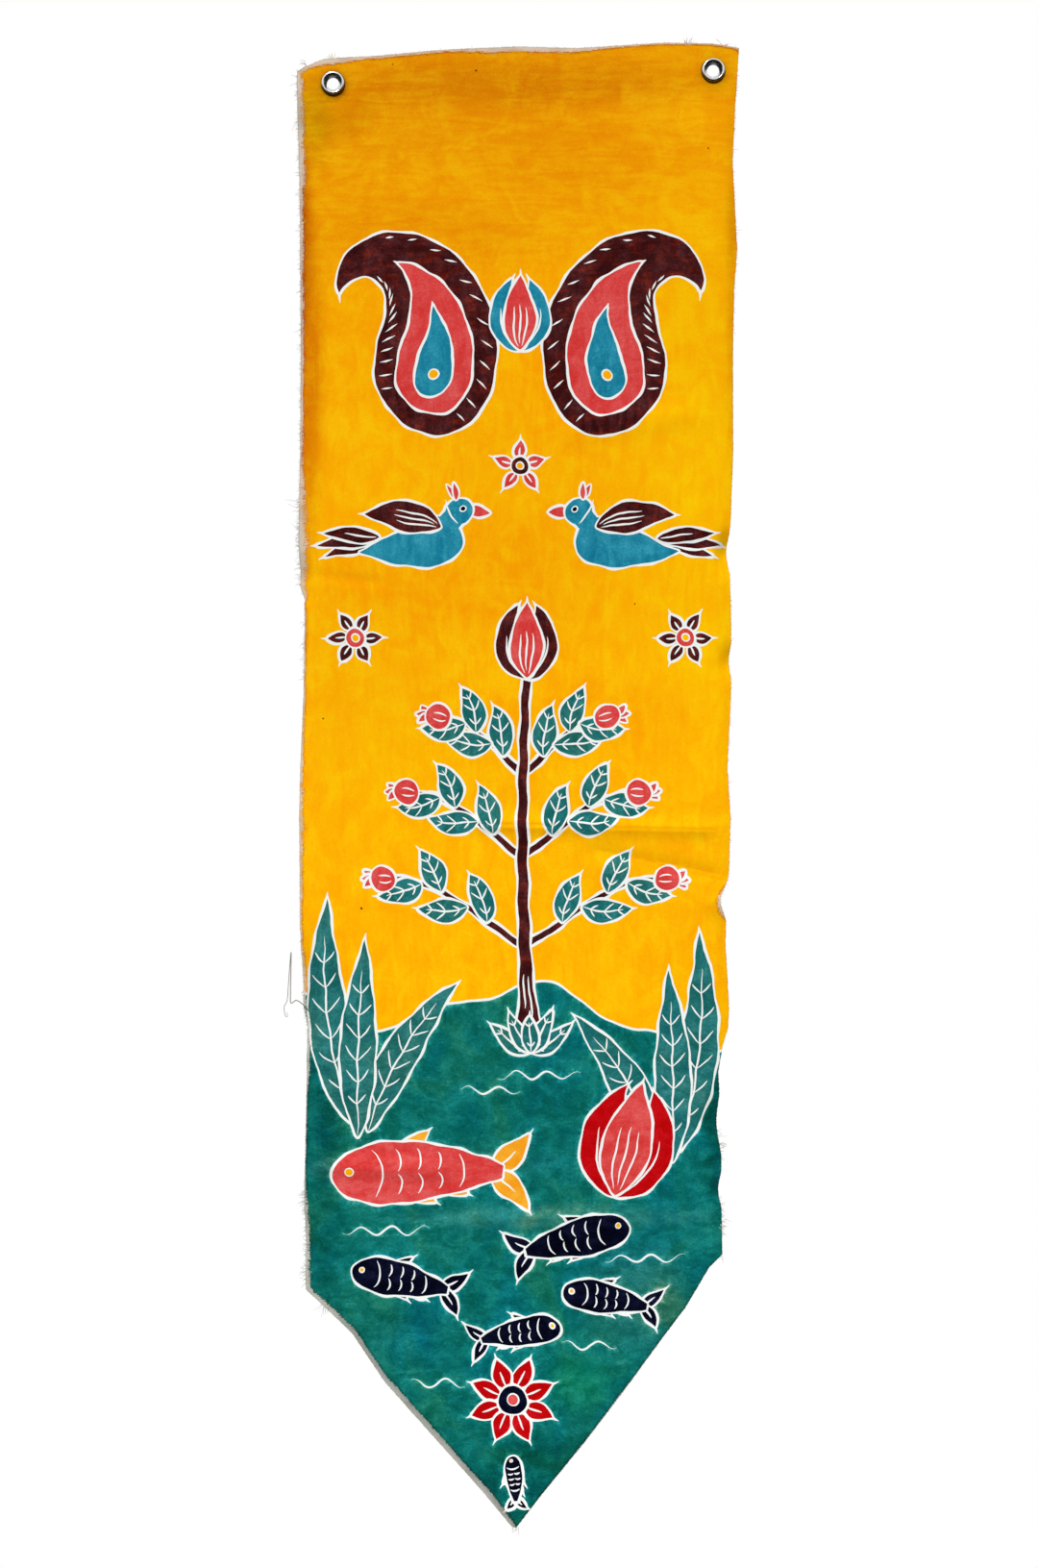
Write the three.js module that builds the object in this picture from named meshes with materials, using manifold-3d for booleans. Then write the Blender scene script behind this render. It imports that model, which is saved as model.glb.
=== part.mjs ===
/**
 * A long cotton banner with a pointed foot and a metal eyelet in each top corner.
 *
 * Units are millimetres and +Z is up. The banner hangs in the XZ plane with its painted front facing -Y.
 * The origin is the middle of the top edge. A drop is a distance below the origin, so z = -drop.
 */
import * as THREE from 'three';
import { mergeVertices } from 'three/addons/utils/BufferGeometryUtils.js';
import Module from 'manifold-3d';

const wasm = await Module();
wasm.setup();

// Cloth
const CLOTH_THICKNESS = 1.2;
const PIECE_GAP = 0.3;
const HEADING_DROP = 68;
const COLUMNS = 24;
const HEADING_ROWS = 6;
const EDGE_CROWDING = 0.55;
const SLOPE_STEP = 0.5;

// Eyelets, in the plane y = 0
const EYELETS = [
  { name: 'eyelet_left', x: -194.5, z: -39.5 },
  { name: 'eyelet_right', x: 201, z: -26 },
];
const EYELET = {
  outerRadius: 12.7,
  crestRadius: 10.4,
  boreRadius: 6.2,
  barrelRadius: 7.4,
  frontHeight: 3.6,
  funnelFlare: 0.6,
  rimHeight: 1.0,
  rimBevel: 0.4,
  rearRadius: 10.4,
  rearThickness: 1.4,
  rearBevel: 0.4,
  boreLipWidth: 0.9,
  boreLipHeight: 0.7,
  curveSteps: 4,
  segments: 32,
};
const HOLE_CUTTER_LENGTH = 20;
const FLAT_RADIUS = 18;
const FLAT_BLEND = 46;

/** The raw top edge, left to right: how far it rises above the origin at each x. */
const TOP_EDGE = [
  { x: -232, rise: -25.5 },
  { x: -205, rise: -14 },
  { x: -160, rise: -10.5 },
  { x: -75, rise: -4 },
  { x: 0, rise: 0 },
  { x: 60, rise: -1.5 },
  { x: 150, rise: 3 },
  { x: 200, rise: 2 },
  { x: 228, rise: -2.5 },
];

/** The two raw side edges: x of each at a drop, and the rows of cloth from the station above down to it. */
const SIDES = [
  { drop: 0, left: -232, right: 228, rows: 0 },
  { drop: 62, left: -232, right: 224, rows: 0 },
  { drop: 122, left: -231, right: 221, rows: 3 },
  { drop: 212, left: -228, right: 226, rows: 5 },
  { drop: 317, left: -228, right: 222, rows: 5 },
  { drop: 422, left: -229, right: 219.5, rows: 5 },
  { drop: 507, left: -230, right: 218, rows: 5 },
  { drop: 607, left: -224, right: 218.5, rows: 8 },
  { drop: 672, left: -224, right: 219, rows: 4 },
  { drop: 752, left: -228, right: 214.5, rows: 4 },
  { drop: 802, left: -226, right: 219, rows: 4 },
  { drop: 852, left: -225, right: 217.5, rows: 5 },
  { drop: 932, left: -225, right: 213.5, rows: 6 },
  { drop: 1007, left: -222, right: 214.5, rows: 4 },
  { drop: 1067, left: -221, right: 211, rows: 4 },
  { drop: 1122, left: -222.5, right: 210, rows: 4 },
  { drop: 1197, left: -224, right: 209.5, rows: 6 },
  { drop: 1258.5, left: -223.5, right: 209, rows: 4 },
  { drop: 1272.5, left: -223, right: 195, rows: 1 },
  { drop: 1293.5, left: -222.5, right: 182, rows: 2 },
  { drop: 1314.5, left: -200, right: 169.5, rows: 1 },
  { drop: 1339.5, left: -174.5, right: 149.5, rows: 2 },
  { drop: 1390.5, left: -139, right: 111.5, rows: 3 },
  { drop: 1454.5, left: -79, right: 65.5, rows: 4 },
  { drop: 1508.5, left: -31, right: 23, rows: 3 },
  { drop: 1544, left: -7.5, right: -4, rows: 3 },
];

/** Slow waves of the whole cloth: height, and the length of one wave across and down. */
const WAVES = [
  { height: 3.2, across: 1500, down: 760, phase: 0.35 },
  { height: 1.6, across: 250, down: -2100, phase: 0.1 },
  { height: 0.9, across: -420, down: 330, phase: 0.6 },
];

/** Soft creases left by folding: a line from one end to the other, its half width, and its height to the back. */
const CREASES = [
  { fromX: -60, fromDrop: 809, toX: 214, toDrop: 815, halfWidth: 13, height: -3.4 },
  { fromX: 60, fromDrop: 834, toX: 216, toDrop: 866, halfWidth: 12, height: 2.4 },
  { fromX: -222, fromDrop: 1163, toX: -60, toDrop: 1170, halfWidth: 17, height: -3.6 },
  { fromX: -90, fromDrop: 1224, toX: 190, toDrop: 1212, halfWidth: 18, height: -3.2 },
  { fromX: -206, fromDrop: 930, toX: -200, toDrop: 1130, halfWidth: 14, height: -2.6 },
  { fromX: 30, fromDrop: 405, toX: 200, toDrop: 380, halfWidth: 22, height: -1.4 },
  { fromX: -150, fromDrop: 1340, toX: 60, toDrop: 1356, halfWidth: 20, height: 2.2 },
];

/** Places where a side edge turns: which side, its drop, half its length, its width, its depth and inset. */
const CURLS = [
  { side: 'left', drop: 150, halfLength: 90, width: 16, depth: 3.5, inset: 0.5 },
  { side: 'left', drop: 553, halfLength: 34, width: 18, depth: 7, inset: 1.5 },
  { side: 'left', drop: 985, halfLength: 75, width: 26, depth: 11, inset: 2.5 },
  { side: 'left', drop: 1243, halfLength: 44, width: 18, depth: 7, inset: 1 },
  { side: 'right', drop: 200, halfLength: 60, width: 16, depth: 4, inset: 0 },
  { side: 'right', drop: 527, halfLength: 30, width: 18, depth: 9, inset: 6 },
  { side: 'right', drop: 640, halfLength: 24, width: 16, depth: 6, inset: 3 },
  { side: 'right', drop: 888, halfLength: 26, width: 20, depth: -7, inset: 8 },
  { side: 'right', drop: 1122, halfLength: 38, width: 20, depth: 9, inset: 6.5 },
  { side: 'right', drop: 1191, halfLength: 24, width: 16, depth: 6, inset: 3 },
];
const EDGE_CURL = { width: 14, depth: 2 };

function smooth(t) {
  const s = THREE.MathUtils.clamp(t, 0, 1);
  return s * s * (3 - 2 * s);
}

/** The value of one column of a table at a place between its stations, on straight lines. */
function lookUp(table, key, place, column) {
  const last = table.length - 1;
  let i = 1;
  while (i < last && table[i][key] < place) i += 1;
  const share = (place - table[i - 1][key]) / (table[i][key] - table[i - 1][key]);
  return THREE.MathUtils.lerp(table[i - 1][column], table[i][column], THREE.MathUtils.clamp(share, 0, 1));
}

/** How much of a curl there is at a drop: 1 at its middle, 0 past its ends. */
function curlShare(curl, drop) {
  return smooth(1 - Math.abs(drop - curl.drop) / curl.halfLength);
}

/** x of a side edge at a drop, with the inset of the curls on that side. */
function sideX(side, drop) {
  const inward = side === 'left' ? 1 : -1;
  let x = lookUp(SIDES, 'drop', drop, side);
  for (const curl of CURLS) {
    if (curl.side === side) x += inward * curl.inset * curlShare(curl, drop);
  }
  return x;
}

/** Depth of a crease: a soft ridge along its line, fading out at both ends. */
function creaseDepth(crease, x, drop) {
  const alongX = crease.toX - crease.fromX;
  const alongDrop = crease.toDrop - crease.fromDrop;
  const length = Math.hypot(alongX, alongDrop);
  const along = ((x - crease.fromX) * alongX + (drop - crease.fromDrop) * alongDrop) / length;
  const across = ((drop - crease.fromDrop) * alongX - (x - crease.fromX) * alongDrop) / length;
  const ends = smooth(along / (2 * crease.halfWidth)) * smooth((length - along) / (2 * crease.halfWidth));
  return crease.height * ends * smooth(1 - Math.abs(across) / crease.halfWidth);
}

/** Depth that an edge has turned by at a distance in from it. */
function edgeDepth(side, inward, drop) {
  let depth = EDGE_CURL.depth * smooth(1 - inward / EDGE_CURL.width) ** 2;
  for (const curl of CURLS) {
    if (curl.side === side) depth += curl.depth * curlShare(curl, drop) * smooth(1 - inward / curl.width);
  }
  return depth;
}

/** 0 on the flat cloth under an eyelet, growing to 1 on the free cloth around it. */
function awayFromEyelets(x, z) {
  let share = 1;
  for (const eyelet of EYELETS) {
    const distance = Math.hypot(x - eyelet.x, z - eyelet.z);
    share *= smooth((distance - FLAT_RADIUS) / FLAT_BLEND);
  }
  return share;
}

/** y of the middle of the cloth. Positive is to the back. */
function relief(x, z) {
  const drop = -z;
  let depth = edgeDepth('left', x - sideX('left', drop), drop) + edgeDepth('right', sideX('right', drop) - x, drop);
  for (const wave of WAVES) {
    depth += wave.height * Math.sin(2 * Math.PI * (x / wave.across + drop / wave.down + wave.phase));
  }
  for (const crease of CREASES) depth += creaseDepth(crease, x, drop);
  return depth * awayFromEyelets(x, z);
}

/** Unit vector to the back of the cloth, from the slope of its relief. */
function backward(x, z) {
  const slopeX = (relief(x + SLOPE_STEP, z) - relief(x - SLOPE_STEP, z)) / (2 * SLOPE_STEP);
  const slopeZ = (relief(x, z + SLOPE_STEP) - relief(x, z - SLOPE_STEP)) / (2 * SLOPE_STEP);
  return new THREE.Vector3(-slopeX, 1, -slopeZ).normalize();
}

/** Columns lie closer together near the side edges, where the cloth turns. */
function columnShare(column) {
  const share = column / COLUMNS;
  return share - (EDGE_CROWDING * Math.sin(2 * Math.PI * share)) / (2 * Math.PI);
}

/** A closed sheet of the cloth's thickness over a grid of places in the XZ plane. */
function sheetGeometry(rows) {
  const width = COLUMNS + 1;
  const positions = [];
  for (const side of [-1, 1]) {
    for (const row of rows) {
      for (let column = 0; column < width; column += 1) {
        const { x, z } = row(columnShare(column));
        const offset = backward(x, z).multiplyScalar((side * CLOTH_THICKNESS) / 2);
        positions.push(x + offset.x, relief(x, z) + offset.y, z + offset.z);
      }
    }
  }
  const faces = [];
  const backStart = rows.length * width;
  const quad = (a, b, c, d) => faces.push(a, b, c, a, c, d);
  for (let row = 0; row < rows.length - 1; row += 1) {
    for (let column = 0; column < COLUMNS; column += 1) {
      const a = row * width + column;
      quad(a, a + width, a + width + 1, a + 1);
      quad(backStart + a, backStart + a + 1, backStart + a + width + 1, backStart + a + width);
    }
    const left = row * width;
    const right = left + COLUMNS;
    quad(left, backStart + left, backStart + left + width, left + width);
    quad(right, right + width, backStart + right + width, backStart + right);
  }
  const lowest = (rows.length - 1) * width;
  for (let column = 0; column < COLUMNS; column += 1) {
    quad(column, column + 1, backStart + column + 1, backStart + column);
    const foot = lowest + column;
    quad(foot, backStart + foot, backStart + foot + 1, foot + 1);
  }
  const geometry = new THREE.BufferGeometry();
  geometry.setAttribute('position', new THREE.Float32BufferAttribute(positions, 3));
  geometry.setIndex(faces);
  return geometry;
}

/** Rows of the heading, from the top edge down to the level line where the rest of the cloth begins. */
function headingRows() {
  const rows = [];
  for (let row = 0; row <= HEADING_ROWS; row += 1) {
    const down = row / HEADING_ROWS;
    rows.push((share) => {
      const topX = THREE.MathUtils.lerp(sideX('left', 0), sideX('right', 0), share);
      const z = THREE.MathUtils.lerp(lookUp(TOP_EDGE, 'x', topX, 'rise'), -HEADING_DROP, down);
      return { x: THREE.MathUtils.lerp(sideX('left', -z), sideX('right', -z), share), z };
    });
  }
  return rows;
}

/** Rows of the rest of the cloth: level lines, evenly spaced between the stations of the side edges. */
function clothRows() {
  const drops = [HEADING_DROP + PIECE_GAP];
  for (const station of SIDES) {
    const from = drops.at(-1);
    for (let row = 1; row <= station.rows; row += 1) {
      drops.push(THREE.MathUtils.lerp(from, station.drop, row / station.rows));
    }
  }
  return drops.map((drop) => (share) => ({
    x: THREE.MathUtils.lerp(sideX('left', drop), sideX('right', drop), share),
    z: -drop,
  }));
}

/** A solid for joining and cutting, from a closed geometry. */
function toSolid(geometry) {
  const bare = geometry.clone();
  bare.deleteAttribute('normal');
  bare.deleteAttribute('uv');
  const merged = mergeVertices(bare);
  return new wasm.Manifold(
    new wasm.Mesh({
      numProp: 3,
      vertProperties: new Float32Array(merged.attributes.position.array),
      triVerts: new Uint32Array(merged.index.array),
    }),
  );
}

function toGeometry(solid) {
  const mesh = solid.getMesh();
  const geometry = new THREE.BufferGeometry();
  geometry.setAttribute('position', new THREE.BufferAttribute(mesh.vertProperties, 3));
  geometry.setIndex(new THREE.BufferAttribute(mesh.triVerts, 1));
  return geometry;
}

/** The heading strip with a round hole for each eyelet's barrel. */
function headingGeometry() {
  const holeRadius = EYELET.barrelRadius + PIECE_GAP;
  let solid = toSolid(sheetGeometry(headingRows()));
  for (const eyelet of EYELETS) {
    const hole = new THREE.CylinderGeometry(holeRadius, holeRadius, HOLE_CUTTER_LENGTH, EYELET.segments);
    hole.translate(eyelet.x, 0, eyelet.z);
    solid = solid.subtract(toSolid(hole));
  }
  return toGeometry(solid);
}

/**
 * One pressed eyelet about its own Y axis: a domed front flange whose funnel runs into the bore, a barrel
 * through the cloth, and a flat rim turned out behind it.
 */
function eyeletGeometry() {
  const e = EYELET;
  const face = CLOTH_THICKNESS / 2 + PIECE_GAP;
  const rear = face + e.rearThickness;
  const crest = -face - e.frontHeight;
  const funnel = new THREE.QuadraticBezierCurve(
    new THREE.Vector2(e.boreRadius, -face),
    new THREE.Vector2(e.boreRadius + e.funnelFlare, crest),
    new THREE.Vector2(e.crestRadius, crest),
  );
  const dome = new THREE.QuadraticBezierCurve(
    new THREE.Vector2(e.crestRadius, crest),
    new THREE.Vector2(e.outerRadius, crest),
    new THREE.Vector2(e.outerRadius, -face - e.rimHeight),
  );
  const profile = [
    new THREE.Vector2(e.outerRadius - e.rimBevel, -face),
    new THREE.Vector2(e.barrelRadius, -face),
    new THREE.Vector2(e.barrelRadius, face),
    new THREE.Vector2(e.rearRadius - e.rearBevel, face),
    new THREE.Vector2(e.rearRadius, face + e.rearThickness / 2),
    new THREE.Vector2(e.rearRadius - e.rearBevel, rear),
    new THREE.Vector2(e.boreRadius + e.boreLipWidth, rear),
    new THREE.Vector2(e.boreRadius, rear - e.boreLipHeight),
    ...funnel.getPoints(e.curveSteps),
    ...dome.getPoints(e.curveSteps).slice(1),
  ];
  return new THREE.LatheGeometry([...profile, profile[0].clone()], e.segments);
}

const banner = new THREE.Group();
banner.name = 'banner';

function addPiece(name, geometry, material) {
  const mesh = new THREE.Mesh(geometry, material);
  mesh.name = name;
  banner.add(mesh);
  return mesh;
}

const orangePaint = new THREE.MeshStandardMaterial({ color: 0xe29005, roughness: 0.85, metalness: 0 });
const paintedCotton = new THREE.MeshStandardMaterial({ color: 0xf5ab0a, roughness: 0.88, metalness: 0 });

addPiece('heading', headingGeometry(), orangePaint);
addPiece('cloth', sheetGeometry(clothRows()), paintedCotton);
for (const eyelet of EYELETS) {
  const nickel = new THREE.MeshStandardMaterial({ color: 0xd8d8d6, roughness: 0.18, metalness: 1 });
  addPiece(eyelet.name, eyeletGeometry(), nickel).position.set(eyelet.x, 0, eyelet.z);
}

export default banner;
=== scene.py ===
"""A long painted cotton banner with raw edges, a pointed foot and a nickel eyelet in each top corner.

Lengths are in metres. The banner hangs in the XZ plane, its painted front faces -Y, and the origin is the
middle of its top edge. A drop is a distance below the origin, so z = -drop.
"""

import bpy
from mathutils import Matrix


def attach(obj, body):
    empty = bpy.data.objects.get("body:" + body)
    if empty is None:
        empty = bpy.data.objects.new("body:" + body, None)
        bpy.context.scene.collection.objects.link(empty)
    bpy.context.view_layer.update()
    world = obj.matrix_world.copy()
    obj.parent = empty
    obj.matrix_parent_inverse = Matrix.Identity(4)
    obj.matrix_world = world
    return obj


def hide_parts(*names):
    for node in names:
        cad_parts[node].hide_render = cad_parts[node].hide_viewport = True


bl_info = {
    "name": "Painted Banner",
    "version": (1, 0, 0),
    "blender": (4, 5, 0),
    "location": "3D View > Sidebar > Banner",
    "description": "Builds a painted cotton banner with frayed edges and two eyelets",
    "category": "Add Mesh",
}

import math
from collections import namedtuple

import bpy
import numpy as np
from mathutils import Vector
from mathutils.geometry import delaunay_2d_cdt

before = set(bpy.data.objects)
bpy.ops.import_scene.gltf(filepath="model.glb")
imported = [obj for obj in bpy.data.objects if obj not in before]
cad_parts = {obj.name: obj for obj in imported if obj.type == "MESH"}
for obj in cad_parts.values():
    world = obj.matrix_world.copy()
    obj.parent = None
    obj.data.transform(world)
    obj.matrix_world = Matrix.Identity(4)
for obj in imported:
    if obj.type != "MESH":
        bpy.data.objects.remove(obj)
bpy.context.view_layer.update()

MM = 0.001
TINY = 1e-9
PHOTO_SIZE = (1.080, 1.631)
PHOTO_CENTRE = (-0.001, -0.768)
SENSOR_MM = 36


def rows(kind, *values):
    """A table whose rows are named tuples of one kind."""
    return [kind(*value) for value in values]


# The shape in which the cloth hangs. Its folds are those of the solids, and its raw edge is a little finer

Station = namedtuple("Station", "drop left right")
Rise = namedtuple("Rise", "x rise")
Wave = namedtuple("Wave", "height across down phase")
Crease = namedtuple("Crease", "from_x from_drop to_x to_drop half_width height")
Curl = namedtuple("Curl", "side drop half_length width depth inset")

TOP_EDGE = rows(
    Rise,
    (-0.232, -0.0255), (-0.205, -0.014), (-0.160, -0.0105), (-0.075, -0.004), (0, 0), (0.060, -0.0015),
    (0.150, 0.003), (0.200, 0.002), (0.228, -0.0025),
)

SIDES = rows(
    Station,
    (0, -0.232, 0.228), (0.062, -0.232, 0.224), (0.122, -0.231, 0.221), (0.212, -0.229, 0.226),
    (0.2525, -0.2285, 0.2225), (0.317, -0.228, 0.2215), (0.422, -0.2285, 0.222), (0.507, -0.230, 0.219),
    (0.562, -0.230, 0.219), (0.576, -0.2245, 0.2195), (0.607, -0.224, 0.220), (0.672, -0.2255, 0.220),
    (0.752, -0.229, 0.216), (0.802, -0.230, 0.219), (0.852, -0.2295, 0.2175), (0.932, -0.229, 0.2135),
    (1.000, -0.2285, 0.2175), (1.022, -0.2225, 0.2165), (1.040, -0.2220, 0.2110),
    (1.067, -0.2215, 0.2065), (1.122, -0.2225, 0.2095), (1.197, -0.224, 0.210),
    (1.2585, -0.2235, 0.211), (1.2725, -0.223, 0.197), (1.2935, -0.2225, 0.185),
    (1.3145, -0.200, 0.1725), (1.3395, -0.1745, 0.1535), (1.3905, -0.141, 0.1155),
    (1.4545, -0.085, 0.0665), (1.5085, -0.037, 0.023), (1.544, -0.0075, -0.004),
)
TIP = 1.544

WAVES = rows(
    Wave,
    (0.0032, 1.5, 0.76, 0.35), (0.0016, 0.25, -2.1, 0.1), (0.0009, -0.42, 0.33, 0.6),
)

CREASES = rows(
    Crease,
    (-0.060, 0.809, 0.214, 0.815, 0.013, -0.0034), (0.060, 0.834, 0.216, 0.866, 0.012, 0.0024),
    (-0.222, 1.163, -0.060, 1.170, 0.017, -0.0036), (-0.090, 1.224, 0.190, 1.212, 0.018, -0.0032),
    (-0.206, 0.930, -0.200, 1.130, 0.014, -0.0026), (0.030, 0.405, 0.200, 0.380, 0.022, -0.0014),
    (-0.150, 1.340, 0.060, 1.356, 0.020, 0.0022),
)

# Narrow pressed lines on the soft creases, and a few small dents, which are finer than the solids
PRESSED_LINES = rows(
    Crease,
    (-0.052, 0.8095, 0.040, 0.811, 0.0030, 0.0012), (0.020, 0.8120, 0.206, 0.8155, 0.0026, 0.0006),
    (0.078, 0.8395, 0.150, 0.855, 0.0030, -0.0004), (0.140, 0.8500, 0.212, 0.866, 0.0026, -0.0005),
    (-0.218, 1.1580, -0.120, 1.166, 0.0040, 0.0007), (-0.060, 1.2280, 0.120, 1.219, 0.0042, 0.0007),
    (0.060, 0.5160, 0.216, 0.523, 0.0090, 0.0008), (-0.224, 0.5500, -0.130, 0.560, 0.0090, 0.0008),
    (-0.220, 1.0100, -0.196, 1.090, 0.0060, 0.0010), (0.160, 1.1100, 0.208, 1.124, 0.0060, 0.0012),
)

CURLS = rows(
    Curl,
    ("left", 0.150, 0.090, 0.016, 0.0035, 0.0005), ("left", 0.553, 0.034, 0.018, 0.007, 0.0015),
    ("left", 0.985, 0.075, 0.026, 0.011, 0.0025), ("left", 1.243, 0.044, 0.018, 0.007, 0.001),
    ("right", 0.200, 0.060, 0.016, 0.004, 0), ("right", 0.527, 0.030, 0.018, 0.009, 0.0035),
    ("right", 0.640, 0.024, 0.016, 0.006, 0.002), ("right", 0.888, 0.026, 0.020, -0.007, 0.008),
    ("right", 1.122, 0.038, 0.020, 0.009, 0.0040), ("right", 1.191, 0.024, 0.016, 0.006, 0.003),
)
EDGE_CURL_WIDTH = 0.014
EDGE_CURL_DEPTH = 0.002

EYELET_PLACES = {"eyelet_left": (-0.1945, -0.0395), "eyelet_right": (0.201, -0.026)}
FLAT_RADIUS = 0.018
FLAT_BLEND = 0.046

# Width of the unpainted band inside the raw edge

Margin = namedtuple("Margin", "drop left right")
TopMargin = namedtuple("TopMargin", "x width")

SIDE_MARGINS = rows(
    Margin,
    (0, 0.0056, -0.0010), (0.130, 0.0054, -0.0012), (0.160, 0.0032, -0.0010), (0.440, 0.0030, -0.0008),
    (0.480, 0.0056, -0.0008), (0.520, 0.0074, -0.0012), (0.566, 0.0044, -0.0010),
    (0.580, 0.0008, -0.0008), (0.700, 0.0020, -0.0012), (0.810, 0.0036, -0.0010),
    (0.870, 0.0026, -0.0010), (0.884, 0.0024, 0.0026), (0.900, 0.0022, 0.0028),
    (0.912, 0.0020, -0.0010), (0.930, 0.0014, -0.0010), (0.985, 0.0036, -0.0010),
    (1.020, 0.0012, -0.0010), (1.055, 0.0036, -0.0012), (1.090, 0.0008, -0.0010),
    (1.180, 0.0008, -0.0008), (1.205, 0.0034, -0.0006), (1.285, 0.0040, -0.0006),
    (1.300, 0.0056, -0.0002), (1.360, 0.0046, 0.0006), (1.400, 0.0062, 0.0008), (1.520, 0.0058, 0.0002),
    (1.544, 0.0030, -0.0008),
)

TOP_MARGINS = rows(
    TopMargin,
    (-0.232, 0.0030), (-0.196, 0.0062), (-0.160, 0.0028), (-0.075, 0.0022), (-0.020, 0.0056),
    (0.050, 0.0044), (0.110, 0.0014), (0.228, 0.0012),
)

# How ragged the paint's edge is, as a share of the band beside it: more at the sides than at the foot
RAGGED_DROPS = (1.29, 1.34)
RAGGED_SHARES = (0.26, 0.05)
RAGGED_AT_TOP = 0.10
LEAST_RAGGED = 0.0003

# Where the orange at the top turns to yellow, as a drop and a length
BLEND_START = -0.06
BLEND_LENGTH = 0.56

# Soft patches where a paint went on deeper, paler or in another tint; some are painted shadow, painted
# shade or painted light, as marked below
PATCH_REACH = 1.25

Patch = namedtuple("Patch", "x drop half_width half_height tint strength")

PATCHES = {
    "yellow": rows(
        Patch,
        # Painted shadow round and just below each eyelet, with some dirt
        (-0.1936, 0.0414, 0.0160, 0.0166, (72, 28, 2), 1.0),
        (0.2019, 0.0279, 0.0160, 0.0166, (72, 28, 2), 1.0),
        (0.020, 0.300, 0.260, 0.220, (255, 174, 0), 0.45),
        (0.190, 0.420, 0.110, 0.460, (255, 192, 0), 0.55),
        (0.170, 0.090, 0.110, 0.100, (244, 166, 2), 0.45),
        (-0.216, 0.078, 0.024, 0.058, (206, 158, 0), 0.50),
        (0.010, 0.040, 0.220, 0.030, (208, 120, 0), 0.55),
        (-0.100, 0.200, 0.140, 0.050, (228, 140, 0), 0.50),
        # Painted shade along the side edges, where they curl back
        (-0.224, 0.330, 0.022, 0.220, (216, 122, 0), 0.85),
        (-0.227, 0.205, 0.012, 0.110, (190, 102, 2), 0.80),
        (0.224, 0.250, 0.010, 0.200, (214, 120, 0), 0.45),
        (0.080, 0.110, 0.120, 0.060, (236, 150, 0), 0.45),
        (-0.060, 0.560, 0.160, 0.080, (246, 158, 0), 0.45),
        (0.185, 0.430, 0.030, 0.110, (255, 196, 0), 0.55),
        (0.180, 0.625, 0.040, 0.060, (255, 202, 0), 0.60),
        (-0.140, 0.450, 0.024, 0.090, (255, 188, 0), 0.50),
        (0.090, 0.700, 0.120, 0.050, (250, 164, 0), 0.50),
        (-0.120, 0.760, 0.080, 0.090, (255, 190, 0), 0.55),
        (0.170, 0.880, 0.060, 0.060, (252, 170, 0), 0.55),
    ),
    "green": rows(
        Patch,
        # Painted light: pale bands along the creases, where the folds face the light
        (-0.170, 1.166, 0.060, 0.013, (48, 132, 122), 0.75),
        (-0.050, 1.160, 0.090, 0.014, (36, 122, 116), 0.50),
        (0.040, 1.218, 0.160, 0.013, (50, 136, 126), 0.65),
        (0.058, 1.392, 0.040, 0.034, (14, 128, 84), 0.50),
        (-0.112, 1.345, 0.044, 0.040, (4, 98, 108), 0.45),
        (0.120, 1.300, 0.060, 0.060, (46, 112, 96), 0.45),
        # Painted shade where the side edges curl back
        (-0.200, 1.080, 0.018, 0.140, (0, 74, 78), 0.80),
        (0.205, 1.120, 0.016, 0.100, (0, 76, 70), 0.80),
        (-0.206, 1.255, 0.020, 0.050, (0, 80, 80), 0.65),
        (-0.005, 1.500, 0.100, 0.120, (1, 82, 76), 0.85),
    ),
}

EDGE_SEED = 11
EDGE_ROUGHNESS = 0.00028
SIDE_STEP = 0.004
TOP_POINTS = 200
SLOPE_STEP = 0.0005
CURVE_STEP = 0.0026
CURVE_STEPS = (5, 88)
SMALLEST_STEP = 0.00008
HOLE_RADIUS = 0.0077
HOLE_POINTS = 40
EYELET_SEGMENTS = 96


def linear(rgb):
    """Linear colour of a display colour given as three numbers from 0 to 255."""
    shown = np.asarray(rgb, float) / 255
    return np.where(shown <= 0.04045, shown / 12.92, ((shown + 0.055) / 1.055) ** 2.4)


def colour_property(name, description, rgb):
    """A colour that a user can change, with its default as a display colour."""
    return bpy.props.FloatVectorProperty(
        name=name,
        description=description,
        default=tuple(float(c) for c in linear(rgb)),
        subtype="COLOR",
        size=3,
        min=0,
        max=1,
    )


def number_property(name, description, value, **options):
    """A number from 0 up that a user can change."""
    return bpy.props.FloatProperty(name=name, description=description, default=value, min=0, **options)


def length_property(name, description, metres):
    """A length that a user can change."""
    return number_property(name, description, metres, precision=5, unit="LENGTH")


class BannerCloth(bpy.types.PropertyGroup):
    """Sizes of the cloth and its threads."""

    thickness: length_property("Thickness", "Thickness of the painted cotton", 0.0010)
    grid: length_property("Grid", "Distance between the points of the flat cloth", 0.0064)
    outline_step: length_property("Outline step", "Distance between points on the raw edge", 0.0016)
    thread_pitch: length_property("Thread pitch", "Distance between two threads of the weave", 0.0009)
    thread_radius: length_property("Thread radius", "Radius of a loose thread", 0.00022)
    line_width: length_property("Line width", "Width of the white line round each painted shape", 0.0024)


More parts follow.
